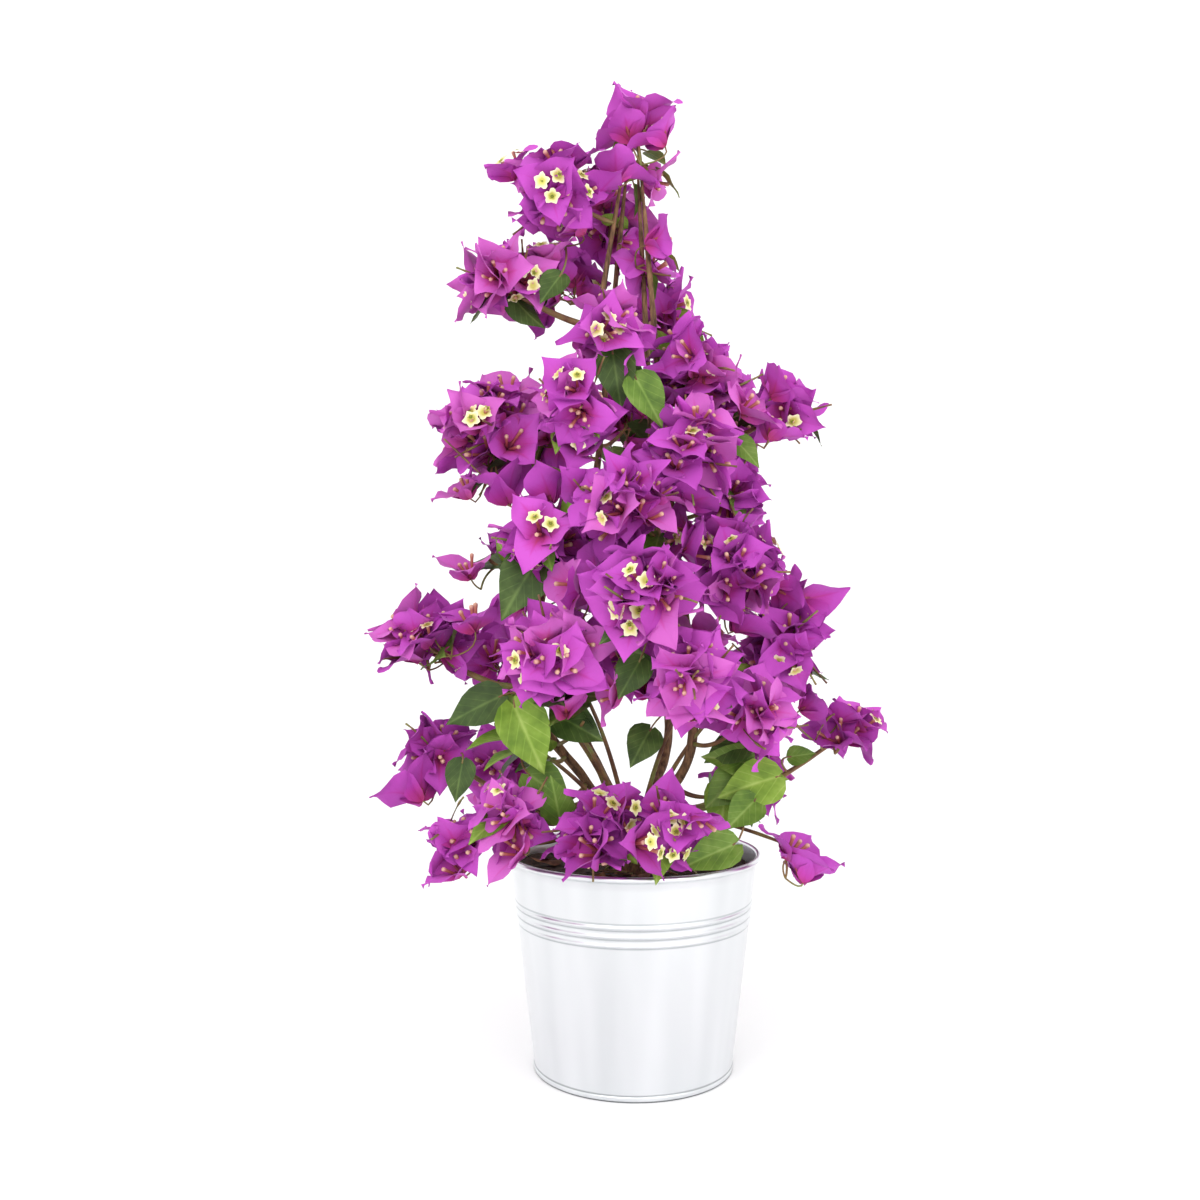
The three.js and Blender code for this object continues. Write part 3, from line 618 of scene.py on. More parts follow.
def place_bloom(spray, rng, tries=110, middle=None):
    """Places a bloom where it has most room in its spray, or about a given middle."""
    away = away_from(spray, rng, tries, BLOOM["widest"])
    size = rng.uniform(*BLOOM["sizes"], tries)
    length = BRACT_LENGTH * size
    base = spray.centre + away * (spray.size * rng.uniform(0.0, BLOOM["deepest"], tries))[:, None]
    base = base + rng.uniform(-1, 1, (tries, 3)) * BLOOM["scatter"] * spray.size
    axis = BLOOM["away"] * away + BLOOM["outward"] * spray.outward + BLOOM["up"] * UP
    axis = unit(axis + rng.uniform(-BLOOM["loose"], BLOOM["loose"], (tries, 3)))
    to_head = axis * (BLOOM["head"] * length)[:, None]
    if middle is not None:
        base = np.array(middle) + rng.uniform(-5, 5, (tries, 3)) - to_head
    turns = frames_for(axis, rng.uniform(0, CIRCLE, tries))
    points = shown(turns, BLOOM_FORM, base, length)
    outer, wall = (depth.min(1) for depth in depths_in_space(spray, points))
    good = fits(points, points)
    if middle is None:
        good &= (outer > -OVERHANG) & (wall > -CLOSING)
    head = base + to_head
    room = gap_to(points, taken.near(spray))
    apart = gap_to(head[:, None], np.array(heads))
    good &= (room > BLOOM["least_room"]) & (apart > BLOOM["least_apart"])
    score = np.minimum(room / BLOOM["room"], 1) + BLOOM["gain_apart"] * np.minimum(apart / BLOOM["apart"], 1)
    score = score + BLOOM["gain_wall"] * np.minimum(wall, 0) + BLOOM["gain_outward"] * away @ spray.outward
    score = np.where(good, score, NO_PLACE)
    best = int(score.argmax())
    if not good[best]:
        return None
    taken.add(head[best], points[best])
    heads.append(head[best])
    return dict(spray=spray, base=base[best], axis=axis[best], turn=turns[best], size=size[best])


rng = np.random.default_rng(SEED - 1)
for spray in sprays:
    spray.own = []
in_bloom = [spray for spray in sprays if spray.blooms]
for middle in CLOSING_BLOOMS:
    spray = min(in_bloom, key=lambda near: np.linalg.norm(near.centre - middle) - near.size)
    spray.own.append(place_bloom(spray, rng, middle=middle))
for index, spray in enumerate(sprays):
    rng = np.random.default_rng(SEED + index)
    spray.own += [place_bloom(spray, rng) for _ in range(round(BLOOM_SHARE * spray.blooms))]
    spray.own = [bloom for bloom in spray.own if bloom]
blooms = [bloom for spray in sprays for bloom in spray.own]

# ---------------------------------------------------------------- flower stalks and twigs

twigs = Heap()
knots = []  # where leaves can grow: point, outward direction, spray


def twig_line(start, bend, end, count):
    return bent_curve(start, bend, end, 24).at(np.linspace(0, 1, count))


def twig(kind, start, bend, end, sides=6, steps=8):
    twigs.add(*tube(twig_line(start, bend, end, steps + 1), np.linspace(*TWIG[kind], steps + 1), sides))


def groups_of(own):
    """Blooms gathered into neighbouring groups that share a stalk."""
    left = list(own)
    while left:
        first = left.pop(0)
        left.sort(key=lambda bloom: np.linalg.norm(bloom["base"] - first["base"]))
        yield [first] + left[:GROUP - 1]
        left = left[GROUP - 1:]


for end, bow in YOUNG_SHOOTS:
    end = np.array(end, float)
    foot = np.array([0.08 * end[0], -6, TRUNK_TOP - 3])
    bend = foot + (end - foot) * [0.35, 0.5, 0.62] - np.array([0, bow, 0])
    twig("young_shoot", foot, bend, end, 8, 20)
    knots.append((end, unit(end * [1, 1, 0]), min(sprays, key=lambda s: np.linalg.norm(s.centre - end))))

for index, spray in enumerate(sprays):
    rng = np.random.default_rng(2 * SEED + index)
    length = spray.curve.length
    fork = min(SHOOT["fork"], SHOOT["fork"] * spray.size / length)
    groups = list(groups_of(spray.own))
    for k, group in enumerate(groups):
        share = 1 - fork + fork * (k + 0.6) / max(len(groups), 1)
        foot, along = spray.curve.at(share)[0], spray.curve.along(share)[0]
        bases = np.array([bloom["base"] for bloom in group])
        axes = np.array([bloom["axis"] for bloom in group])
        knot = bases.mean(0) - unit(axes.mean(0)) * FORK["below"]
        knot = foot + (knot - foot) * FORK["share"]
        bend = (foot + knot) / 2 + along * FORK["bend"] * np.linalg.norm(knot - foot)
        twig("fork", foot, bend, knot)
        knots.append((knot, unit(knot - foot + along), spray))
        tint = int(rng.choice(4, p=BLOOM_TINTS))
        for bloom in group:
            bloom["tint"] = tint
            base, axis = bloom["base"], bloom["axis"]
            twig("stalk", knot, base - axis * 0.45 * np.linalg.norm(base - knot), base + axis, 5, 6)
    for k in range(round(SPENT_SHARE * spray.blooms)):
        away = away_from(spray, rng, 1, 100)[0]
        foot = knots[-1 - int(rng.integers(len(groups)))][0] if groups else spray.centre
        end = spray.centre + away * spray.size * rng.uniform(0.75, 1.02)
        if in_opening(end) or in_pot(end):
            continue
        line = twig_line(foot, (foot + end) / 2 + UP * rng.uniform(-5, 9), end, len(SPENT))
        twigs.add(*tube(line, SPENT, 5))
    for share in np.linspace(0.3, 0.98, 4 if spray.blooms else 7):
        knots.append((spray.curve.at(share)[0], unit(spray.outward + rng.normal(0, 0.6, 3)), spray))

# ---------------------------------------------------------------- placing leaves

def place_leaf(spray, rng, knot, outward, tint, sizes, tries=60):
    """Places a leaf on a stalk from a knot, where it has most room."""
    away = unit(outward + rng.normal(0, LEAF["spread"], (tries, 3)))
    base = knot + away * rng.uniform(*LEAF["stalk"], tries)[:, None]
    along = unit(away * [1, 1, 0.5] - UP * rng.uniform(0, LEAF["droop"], tries)[:, None])
    face = UP + spray.outward * rng.uniform(*LEAF["outward"], tries)[:, None]
    turns = turned_to(along, unit(face + rng.normal(0, LEAF["loose"], (tries, 3))))
    size = rng.uniform(*sizes, tries)
    points = shown(turns, LEAF_FORM, base, LEAF_LENGTH * size)
    outer, wall = (depth.min(1) for depth in depths_in_space(spray, points))
    good = fits(points, points[:, 1:]) & (outer > -OVERHANG) & (wall > -2 * CLOSING)
    room = gap_to(points, taken.near(spray))
    good &= room > LEAF["least_room"]
    score = np.where(good, np.minimum(room, LEAF["room"]) + LEAF["gain_wall"] * np.minimum(wall, 0), NO_PLACE)
    best = int(score.argmax())
    if not good[best]:
        return
    taken.add(base[best], points[best])
    leaves.append(dict(base=base[best], turn=turns[best], size=size[best], tint=tint))
    twig("leaf_stalk", knot, (knot + base[best]) / 2 + UP * 1.5, base[best] + along[best] * 1.5, 5, 5)


for index, spray in enumerate(sprays):
    rng = np.random.default_rng(3 * SEED + index)
    own = [(knot, outward) for knot, outward, its in knots if its is spray]
    young = spray.centre[2] > YOUNG_ABOVE
    for _ in range(round(LEAF_SHARE * spray.leaves + LEAF_EXTRA)):
        knot, outward = own[int(rng.integers(len(own)))]
        tint = int(rng.choice(3, p=YOUNG_TINTS if young else LEAF_TINTS))
        place_leaf(spray, rng, knot, outward, tint, LEAF["young_sizes" if young else "sizes"])

# Each leaf in the open hangs from the nearest stem, shoot or stalk.
limb_points = np.concatenate([stem.curve.at(np.linspace(0.05, 0.95, 90)) for stem in stems]
                             + [spray.curve.at(np.linspace(0.1, 1, 12)) for spray in sprays]
                             + [knot[None] for knot, _, _ in knots])
for leaf in leaves[:len(OPEN_LEAVES)]:
    along = leaf["turn"][:, 0]
    behind = leaf["base"] - along * 12 + UP * 2
    foot = limb_points[np.linalg.norm(limb_points - behind, axis=1).argmin()]
    twig("open_leaf", foot, behind, leaf["base"] + along * 1.5)

# ---------------------------------------------------------------- colours and finishes

def srgb(code):
    """The linear colour of an sRGB hex value."""
    parts = [int(code[i:i + 2], 16) / 255 for i in (1, 3, 5)]
    return [c / 12.92 if c <= 0.04045 else ((c + 0.055) / 1.055) ** 2.4 for c in parts] + [1]


def add(tree, kind, settings=None, inputs=None, stops=()):
    """Adds a node. Inputs take plain values or other nodes' outputs; stops are a colour ramp's places and colours."""
    made = tree.nodes.new(kind)
    for key, value in (settings or {}).items():
        setattr(made, key, value)
    for key, value in (inputs or {}).items():
        if isinstance(value, bpy.types.NodeSocket):
            tree.links.new(value, made.inputs[key])
        else:
            made.inputs[key].default_value = value
    if stops:
        marks = made.color_ramp.elements
        for mark, (position, code) in zip(marks, (stops[0], stops[-1])):
            mark.position, mark.color = position, srgb(code)
        for position, code in stops[1:-1]:
            marks.new(position).color = srgb(code)
    return made


def begin(name):
    """A new material with its tree, still empty."""
    material = bpy.data.materials.new(name)
    material.use_nodes = True
    material.node_tree.nodes.clear()
    return material, material.node_tree


def shade(tree, inputs):
    """Ends a material's tree with its one principled shader."""
    shader = add(tree, "ShaderNodeBsdfPrincipled", inputs=inputs)
    add(tree, "ShaderNodeOutputMaterial", inputs={"Surface": shader.outputs[0]})


def patchy_finish(name, roughness, patch, detail, stops):
    """A finish whose colour shifts in patches, of a size in millimetres."""
    material, tree = begin(name)
    place = add(tree, "ShaderNodeTexCoord").outputs["Object"]
    patches = add(tree, "ShaderNodeTexNoise", inputs={"Vector": place, "Scale": 1000 / patch, "Detail": detail})
    ramp = add(tree, "ShaderNodeValToRGB", inputs={"Fac": patches.outputs["Fac"]}, stops=stops)
    shade(tree, {"Base Color": ramp.outputs["Color"], "Roughness": roughness})
    return material


# Galvanised steel sheet, hot dipped and skin passed, then rolled: bright and smooth. Its colour carries faint upright
# bands about 40 mm apart, a painted reflection of the studio's soft light.
zinc, tree = begin("galvanised_steel_hot_dipped")
place = add(tree, "ShaderNodeTexCoord").outputs["Object"]
upright = add(tree, "ShaderNodeMapping", inputs={"Vector": place, "Scale": (1, 1, 0.04)})
painted_reflection_bands = add(tree, "ShaderNodeTexNoise", inputs={"Vector": upright.outputs[0], "Scale": 1000 / 38, "Detail": 2})
sheet = add(tree, "ShaderNodeValToRGB", inputs={"Fac": painted_reflection_bands.outputs["Fac"]},
            stops=[(0.3, "#dde0e2"), (0.7, "#eef0f2")])
# Painted shade: a darker line about a millimetre wide in each crease, over the foot seam and beside the beads, and
# darkest at the very foot where the bucket meets the floor.
height = add(tree, "ShaderNodeSeparateXYZ", inputs={"Vector": place}).outputs["Z"]
height = add(tree, "ShaderNodeMath", {"operation": "MULTIPLY"}, {0: height, 1: 1000 / POT_HEIGHT}).outputs[0]
marks = [(0, "#6a6e70"), (0.8, "#85898b"), (1.4, "#ffffff"), (SEAM_HEIGHT, "#ffffff"),
         (SEAM_HEIGHT + 0.8, "#8d9193"), (SEAM_HEIGHT + 1.7, "#ffffff")]
for crease in (BEAD_HEIGHTS[0] - 2, BEAD_HEIGHTS[1] - 2.3, BEAD_HEIGHTS[2] - 2.3, BEAD_HEIGHTS[2] + 2.6):
    marks += [(crease - 0.9, "#ffffff"), (crease, "#bcc0c2"), (crease + 0.9, "#ffffff")]
painted_crease_shade = add(tree, "ShaderNodeValToRGB", inputs={"Fac": height},
              stops=[(at / POT_HEIGHT, code) for at, code in marks] + [(1, "#ffffff")])
steel = add(tree, "ShaderNodeMix", {"data_type": "RGBA", "blend_type": "MULTIPLY"},
            {"Factor": 1, 6: sheet.outputs["Color"], 7: painted_crease_shade.outputs["Color"]})
shade(tree, {"Base Color": steel.outputs[2], "Metallic": 1, "Roughness": 0.3})

# Peat compost, milled, damp: near black brown crumbs of 3 to 4 mm.
peat = patchy_finish("peat_compost_milled", 0.95, 3.5, 4, [(0.35, "#1d140d"), (0.65, "#4a3323")])

# Bougainvillea bark, grown: corky and grey brown, with paler fissures about 3 mm apart along the stem.
bark, tree = begin("bougainvillea_bark_grown")
place = add(tree, "ShaderNodeTexCoord").outputs["Object"]
stretch = add(tree, "ShaderNodeMapping", inputs={"Vector": place, "Scale": (1, 1, 0.25)})
flecks = add(tree, "ShaderNodeTexNoise",
             inputs={"Vector": stretch.outputs[0], "Scale": 1000 / 3, "Detail": 4, "Roughness": 0.6})
ramp = add(tree, "ShaderNodeValToRGB", inputs={"Fac": flecks.outputs["Fac"]},
           stops=[(0.35, "#4a3526"), (0.65, "#96724f")])
relief = add(tree, "ShaderNodeBump", inputs={"Height": flecks.outputs["Fac"], "Strength": 0.6, "Distance": 0.0006})
shade(tree, {"Base Color": ramp.outputs["Color"], "Roughness": 0.85, "Normal": relief.outputs[0]})

# Young bougainvillea wood, grown: smooth, brown, and green where it is youngest, in patches of about 20 mm.
young_bark = patchy_finish("bougainvillea_young_wood_grown", 0.6, 20, 2,
                           [(0.38, "#6a4632"), (0.52, "#8a6a42"), (0.66, "#7f8444")])

# Fallen bougainvillea leaf, dried: dull, curled and brown, with stains of about 9 mm.
dry_finish = patchy_finish("bougainvillea_leaf_dried", 0.9, 9, 3,
                           [(0.36, "#5e3b26"), (0.52, "#84573a"), (0.66, "#a67c52")])


def place_on_blade(tree):
    """How far along a bract or leaf a point lies, from foot to tip, and how far aside from its rib."""
    own = add(tree, "ShaderNodeUVMap", {"uv_map": "UVMap"}).outputs[0]
    split = add(tree, "ShaderNodeSeparateXYZ", inputs={"Vector": own})
    aside = add(tree, "ShaderNodeMath", {"operation": "SUBTRACT"}, {0: split.outputs["X"], 1: 0.5})
    aside = add(tree, "ShaderNodeMath", {"operation": "ABSOLUTE"}, {0: aside.outputs[0]})
    return split.outputs["Y"], aside.outputs[0]


def veins(tree, along, aside, pairs, sweep):
    """Lines along the rib and along pairs of side veins that sweep up towards the tip."""
    swept = add(tree, "ShaderNodeMath", {"operation": "MULTIPLY_ADD"}, {0: aside, 1: -sweep, 2: along})
    wave = add(tree, "ShaderNodeMath", {"operation": "MULTIPLY"}, {0: swept.outputs[0], 1: CIRCLE * pairs})
    wave = add(tree, "ShaderNodeMath", {"operation": "COSINE"}, {0: wave.outputs[0]})
    rib = add(tree, "ShaderNodeMapRange", inputs={"Value": aside, "From Max": 0.05, "To Min": 1, "To Max": 0})
    side = add(tree, "ShaderNodeMapRange",
               inputs={"Value": wave.outputs[0], "From Min": 0.86, "From Max": 1, "To Max": 0.45})
    return add(tree, "ShaderNodeMath", {"operation": "MAXIMUM"}, {0: rib.outputs[0], 1: side.outputs[0]}).outputs[0]


def paper(name, throat, colour, pale):
    """Bougainvillea bract, grown as thin as tissue: matt, deeper at its veins, paler towards its edge, and darker at
    its foot, partly its own colour and partly painted shade of the bloom's closed heart.
    """
    material, tree = begin(name)
    along, aside = place_on_blade(tree)
    lines = veins(tree, along, aside, 7, 0.9)  # 39 mm long: side veins about 5 mm apart
    place = add(tree, "ShaderNodeTexCoord").outputs["Object"]
    cloud = add(tree, "ShaderNodeTexNoise", inputs={"Vector": place, "Scale": 1000 / 24, "Detail": 2})
    tone = add(tree, "ShaderNodeMath", {"operation": "MULTIPLY_ADD"}, {0: cloud.outputs["Fac"], 1: 0.8, 2: along})
    tone = add(tree, "ShaderNodeMath", {"operation": "MULTIPLY_ADD"}, {0: aside, 1: 0.6, 2: tone.outputs[0]})
    tone = add(tree, "ShaderNodeMath", {"operation": "MULTIPLY_ADD"}, {0: lines, 1: -0.16, 2: tone.outputs[0]})
    # The throat stop, darkest and reddest, is partly the bract's own colour at its foot and partly painted shade
    # where the three bracts close round the bloom's heart.
    ramp = add(tree, "ShaderNodeValToRGB", inputs={"Fac": tone.outputs[0]},
               stops=[(0.4, throat), (0.76, colour), (1, pale)])
    relief = add(tree, "ShaderNodeBump", inputs={"Height": lines, "Strength": 0.3, "Distance": 0.0004})
    shade(tree, {"Base Color": ramp.outputs["Color"], "Roughness": 0.65, "Specular IOR Level": 0.16,
                 "Sheen Weight": 0.05, "Sheen Roughness": 0.5, "Normal": relief.outputs[0]})
    return material


bract_finishes = [
    paper("bougainvillea_bract_violet_grown", "#a4306e", "#b0389c", "#b246ae"),
    paper("bougainvillea_bract_magenta_grown", "#b03676", "#bc3ea8", "#be4ebc"),
    paper("bougainvillea_bract_orchid_grown", "#b83d7a", "#c446ae", "#c856c4"),
    paper("bougainvillea_bract_pink_grown", "#c04a80", "#cc54ae", "#ce66c2"),
]


def blade(name, deep, colour, light):
    """Bougainvillea leaf, grown: a satin face with a paler rib and side veins, in tones that shift over 15 mm."""
    material, tree = begin(name)
    along, aside = place_on_blade(tree)
    lines = veins(tree, along, aside, 5, 1.1)  # 50 mm long: side veins about 10 mm apart
    place = add(tree, "ShaderNodeTexCoord").outputs["Object"]
    cloud = add(tree, "ShaderNodeTexNoise", inputs={"Vector": place, "Scale": 1000 / 15, "Detail": 3})
    tone = add(tree, "ShaderNodeMath", {"operation": "MULTIPLY_ADD"}, {0: lines, 1: 0.32, 2: cloud.outputs["Fac"]})
    ramp = add(tree, "ShaderNodeValToRGB", inputs={"Fac": tone.outputs[0]},
               stops=[(0.32, deep), (0.56, colour), (0.95, light)])
    relief = add(tree, "ShaderNodeBump", inputs={"Height": lines, "Strength": 0.35, "Distance": 0.0005})
    shade(tree, {"Base Color": ramp.outputs["Color"], "Roughness": 0.5, "Specular IOR Level": 0.3,
                 "Normal": relief.outputs[0]})
    return material


# The shaded finish is a darker copy of the green one, painted shade; sprays high on the plant never get it.
leaf_finishes = [
    blade("bougainvillea_leaf_fresh_grown", "#628426", "#80a038", "#a6c060"),
    blade("bougainvillea_leaf_green_grown", "#4c6a22", "#658430", "#8ea656"),
    blade("bougainvillea_leaf_shaded_grown", "#32481a", "#465e28", "#6c8644"),
]


def flower_finish(name, roughness, stops):
    """A finish whose colour changes along a flower's part, from its foot or middle outwards."""
    material, tree = begin(name)
    along, _ = place_on_blade(tree)
    ramp = add(tree, "ShaderNodeValToRGB", inputs={"Fac": along}, stops=stops)
    shade(tree, {"Base Color": ramp.outputs["Color"], "Roughness": roughness})
    return material


# Bougainvillea flower tube, grown: downy, brownish pink at its foot, warmer up its length, with a cream mouth.
tube_finish = flower_finish("bougainvillea_flower_tube_grown", 0.65,
                            [(0.05, "#8e2e5c"), (0.5, "#a8504e"), (0.86, "#bc7660"), (0.97, "#dcae96")])
# Bougainvillea flower, grown: the small creamy star at the mouth of an open tube, with a yellow-green throat.
star_finish = flower_finish("bougainvillea_flower_grown", 0.55,
                            [(0.1, "#cfcb62"), (0.5, "#efe9a4"), (0.9, "#faf5cc")])
throat_finish = flower_finish("bougainvillea_flower_throat_grown", 0.55, [(0, "#c6c04c"), (1, "#8f9a2e")])

# Painted board, rolled matt: the pale floor.
floor_finish, tree = begin("painted_board_matt")
shade(tree, {"Base Color": srgb("#fafafa"), "Roughness": 0.9})


# ---------------------------------------------------------------- shapes that repeat

def blade_grid(outline):
    """Shares along and across a bract or leaf, its faces, and where each point lies in its own map."""
    share, across = np.meshgrid([s for s, _ in outline], np.linspace(-1, 1, ACROSS), indexing="ij")
    uvs = np.stack([(across * outline_at(outline, share) + 1) / 2, share], -1)
    return share, across, grid_faces(len(outline), ACROSS, False), uvs.reshape(-1, 2)


def bract_trio(kind):
    """The three bracts of a bloom, of unit length."""
    rng = np.random.default_rng(40 + kind)
    heap = Heap()
    share, across, faces, uvs = blade_grid(BRACT_OUTLINE)
    for i in range(3):
        turn = CIRCLE * i / 3 + rng.normal(0, 0.08)
        opening = BRACT_OPENING + 3 * (kind - 3.5) + rng.normal(0, 5)
        points = bract_points(turn, opening, across, share, fold=rng.uniform(0.05, 0.5), twist=rng.normal(0, 0.3),
                              ripple=rng.uniform(0.03, 0.075), phase=rng.random(), curl=rng.uniform(15, 80),
                              bow=rng.normal(0, 0.06))
        heap.add(points.reshape(-1, 3) * rng.uniform(0.9, 1.07) * 1000, faces, uvs)
    return heap.object(f"bract_trio_{kind}")


def tube_line(kind, i, rng):
    """The line of one of a bloom's three flower tubes."""
    lean = math.radians(19 + 4 * (kind % 3) + rng.normal(0, 4))
    radial = around(CIRCLE * i / 3)
    start = radial * 0.03 + UP * 0.02
    end = start + (radial * math.sin(lean) + UP * math.cos(lean)) * rng.uniform(0.4, 0.56)
    return bent_curve(start, (start + end) / 2 + radial * rng.uniform(-0.02, 0.06), end, 24)


HEART, HEART_SIDES = [(0.004, 0.035), (0.055, 0.08), (0.115, 0.155)], 9  # radius and height of the dish's rings
TUBE_PROFILE = [(0, 0.016), (0.12, 0.036), (0.3, 0.04), (0.45, 0.03), (0.8, 0.036), (0.94, 0.046), (1, 0.04)]
TUBE_SIDES = 6


def tube_trio(kind):
    """The three flower tubes of a bloom, with the dark dish at its heart that they stand in: a dark sheet of painted
    shade for the bloom's shadowed heart.
    """
    rng = np.random.default_rng(60 + kind)
    heap = Heap()
    turns = CIRCLE * np.arange(HEART_SIDES) / HEART_SIDES
    lobes = 1 + 0.25 * np.cos(3 * turns)
    shade_dish = np.concatenate([around(turns, radius * lobes, height) for radius, height in HEART])
    heap.add(shade_dish * 1000, grid_faces(len(HEART), HEART_SIDES, True), np.full((len(shade_dish), 2), (0.5, 0)))
    share, radii = np.array(TUBE_PROFILE).T
    for i in range(3):
        vertices, faces, uvs = tube(tube_line(kind, i, rng).at(share), radii, TUBE_SIDES)
        uvs[:, 1] = np.concatenate([np.repeat(share, TUBE_SIDES), [0, 1]])
        heap.add(vertices * 1000, faces, uvs)
    return heap.object(f"tube_trio_{kind}")


# Rings of an open flower and of its throat: the reach, the height above the mouth, and how far the five lobes and
# their crinkles change these.
STAR_RINGS = [(0.04, 0, 0, 0), (0.11, 0.03, 0.12, 0.006), (0.188, 0.03, 0.34, 0.018)]
THROAT_RINGS = [(0.075, 0.034, 0.45, 0), (0.03, 0.042, 0.2, 0)]
STAR_SIDES = 20


def star_set(kind, throat):
    """Open flowers at the mouths of two or all of a bloom's tubes, or just their throats."""
    rng = np.random.default_rng(60 + kind)
    heap = Heap()
    rings = THROAT_RINGS if throat else STAR_RINGS
    turns = CIRCLE * np.arange(STAR_SIDES) / STAR_SIDES
    lobes = 0.5 + 0.5 * np.cos(5 * turns + kind)
    faces = grid_faces(len(rings), STAR_SIDES, True)
    hub = STAR_SIDES * (len(rings) - 1) if throat else 0
    faces += [(hub + k, STAR_SIDES * len(rings), hub + (k + 1) % STAR_SIDES) for k in range(STAR_SIDES)]
    outward = np.append(np.repeat(np.linspace(0, 1, len(rings)), STAR_SIDES), 1 if throat else 0)
    for i in range(3):
        curve = tube_line(kind, i, rng)
        if i > 1 and kind % 3:
            continue
        along, mouth = curve.along(1)[0], curve.at(1)[0]
        u, v = sideways(along)
        vertices = []
        for reach, lift, notch, crinkle in rings:
            uneven = 1 + 0.5 * crinkle / reach * rng.uniform(-1, 1, STAR_SIDES)
            flat = around(turns, reach * (1 - notch * (1 - lobes)) * uneven, lift + crinkle * np.cos(10 * turns + 1))
            vertices.append(mouth + flat @ [u, v, along])
        vertices.append([mouth + along * (0.05 if throat else 0)])
        heap.add(np.concatenate(vertices) * 1000, faces, np.stack([np.full(len(outward), 0.5), outward], -1))
    return heap.object(f"{'throat' if throat else 'star'}_set_{kind}")


def leaf_shape(kind):
    """A leaf of unit length that grows along +X with its face up: folded along its rib, drooping to the tip."""
    rng = np.random.default_rng(80 + kind)
    s, a, faces, uvs = blade_grid(LEAF_OUTLINE)
    droop, fold, ripple, phase = rng.uniform(0.15, 0.5), rng.uniform(0.1, 0.34), rng.uniform(0.01, 0.03), rng.random()
    width = LEAF_HALF_WIDTH * rng.uniform(0.9, 1.12) * outline_at(LEAF_OUTLINE, s)
    x = s - 0.12 * np.abs(a) * (1 - s) ** 3
    z = -droop * 0.5 * s ** 2 + width * np.abs(a) ** 1.2 * math.sin(fold)
    z = z + ripple * np.sin(CIRCLE * (2 * s + phase) + a) * a ** 2
    points = np.stack([x * math.cos(droop * 0.4), a * width * math.cos(fold) + 0.04 * droop * s ** 2, z], -1)
    return mesh_object(f"leaf_{kind}", points.reshape(-1, 3) * 1000, faces, uvs)


def dealing_tree():
    """Geometry Nodes that deal a collection's shapes out over points, turned and sized as each point says."""
    tree = bpy.data.node_groups.new("deal out shapes", "GeometryNodeTree")
    for name, kind in (("Geometry", "Geometry"), ("Shapes", "Collection"), ("Finish", "Material"),
                       ("Length", "Float"), ("Unevenness", "Float"), ("Seed", "Int")):
        tree.interface.new_socket(name, in_out="INPUT", socket_type="NodeSocket" + kind)
    tree.interface.new_socket("Geometry", in_out="OUTPUT", socket_type="NodeSocketGeometry")
    given = add(tree, "NodeGroupInput").outputs
    points = add(tree, "GeometryNodeMeshToPoints", inputs={"Mesh": given["Geometry"]})
    shapes = add(tree, "GeometryNodeCollectionInfo",
                 inputs={"Collection": given["Shapes"], "Separate Children": True, "Reset Children": True})
    turn = add(tree, "GeometryNodeInputNamedAttribute", {"data_type": "FLOAT_VECTOR"}, {"Name": "turn"})
    turned = add(tree, "FunctionNodeEulerToRotation", inputs={"Euler": turn.outputs[0]})
    kind = add(tree, "GeometryNodeInputNamedAttribute", {"data_type": "INT"}, {"Name": "kind"})
    size = add(tree, "GeometryNodeInputNamedAttribute", {"data_type": "FLOAT"}, {"Name": "size"})
    length = add(tree, "ShaderNodeMath", {"operation": "MULTIPLY"}, {0: size.outputs[0], 1: given["Length"]})
    least = add(tree, "ShaderNodeMath", {"operation": "SUBTRACT"}, {0: 1, 1: given["Unevenness"]})
    uneven = add(tree, "FunctionNodeRandomValue", {"data_type": "FLOAT"},
                 {"Min": least.outputs[0], "Seed": given["Seed"]})
    width = add(tree, "ShaderNodeMath", {"operation": "MULTIPLY"}, {0: length.outputs[0], 1: uneven.outputs["Value"]})
    scale = add(tree, "ShaderNodeCombineXYZ",
                inputs={"X": length.outputs[0], "Y": width.outputs[0], "Z": length.outputs[0]})
    dealt = add(tree, "GeometryNodeInstanceOnPoints", inputs={
        "Points": points.outputs[0], "Instance": shapes.outputs[0], "Pick Instance": True,
        "Instance Index": kind.outputs[0], "Rotation": turned.outputs[0], "Scale": scale.outputs[0]})
    real = add(tree, "GeometryNodeRealizeInstances", inputs={"Geometry": dealt.outputs[0]})
    finished = add(tree, "GeometryNodeSetMaterial", inputs={"Geometry": real.outputs[0], "Material": given["Finish"]})
    add(tree, "NodeGroupOutput", inputs={"Geometry": finished.outputs[0]})
    return tree


DEALING = dealing_tree()


def gather(name, shapes):
    """A collection of shapes to deal out, which isn't shown itself."""
    kept = bpy.data.collections.new(name)
    for shape in shapes:
        kept.objects.link(shape)
    return kept


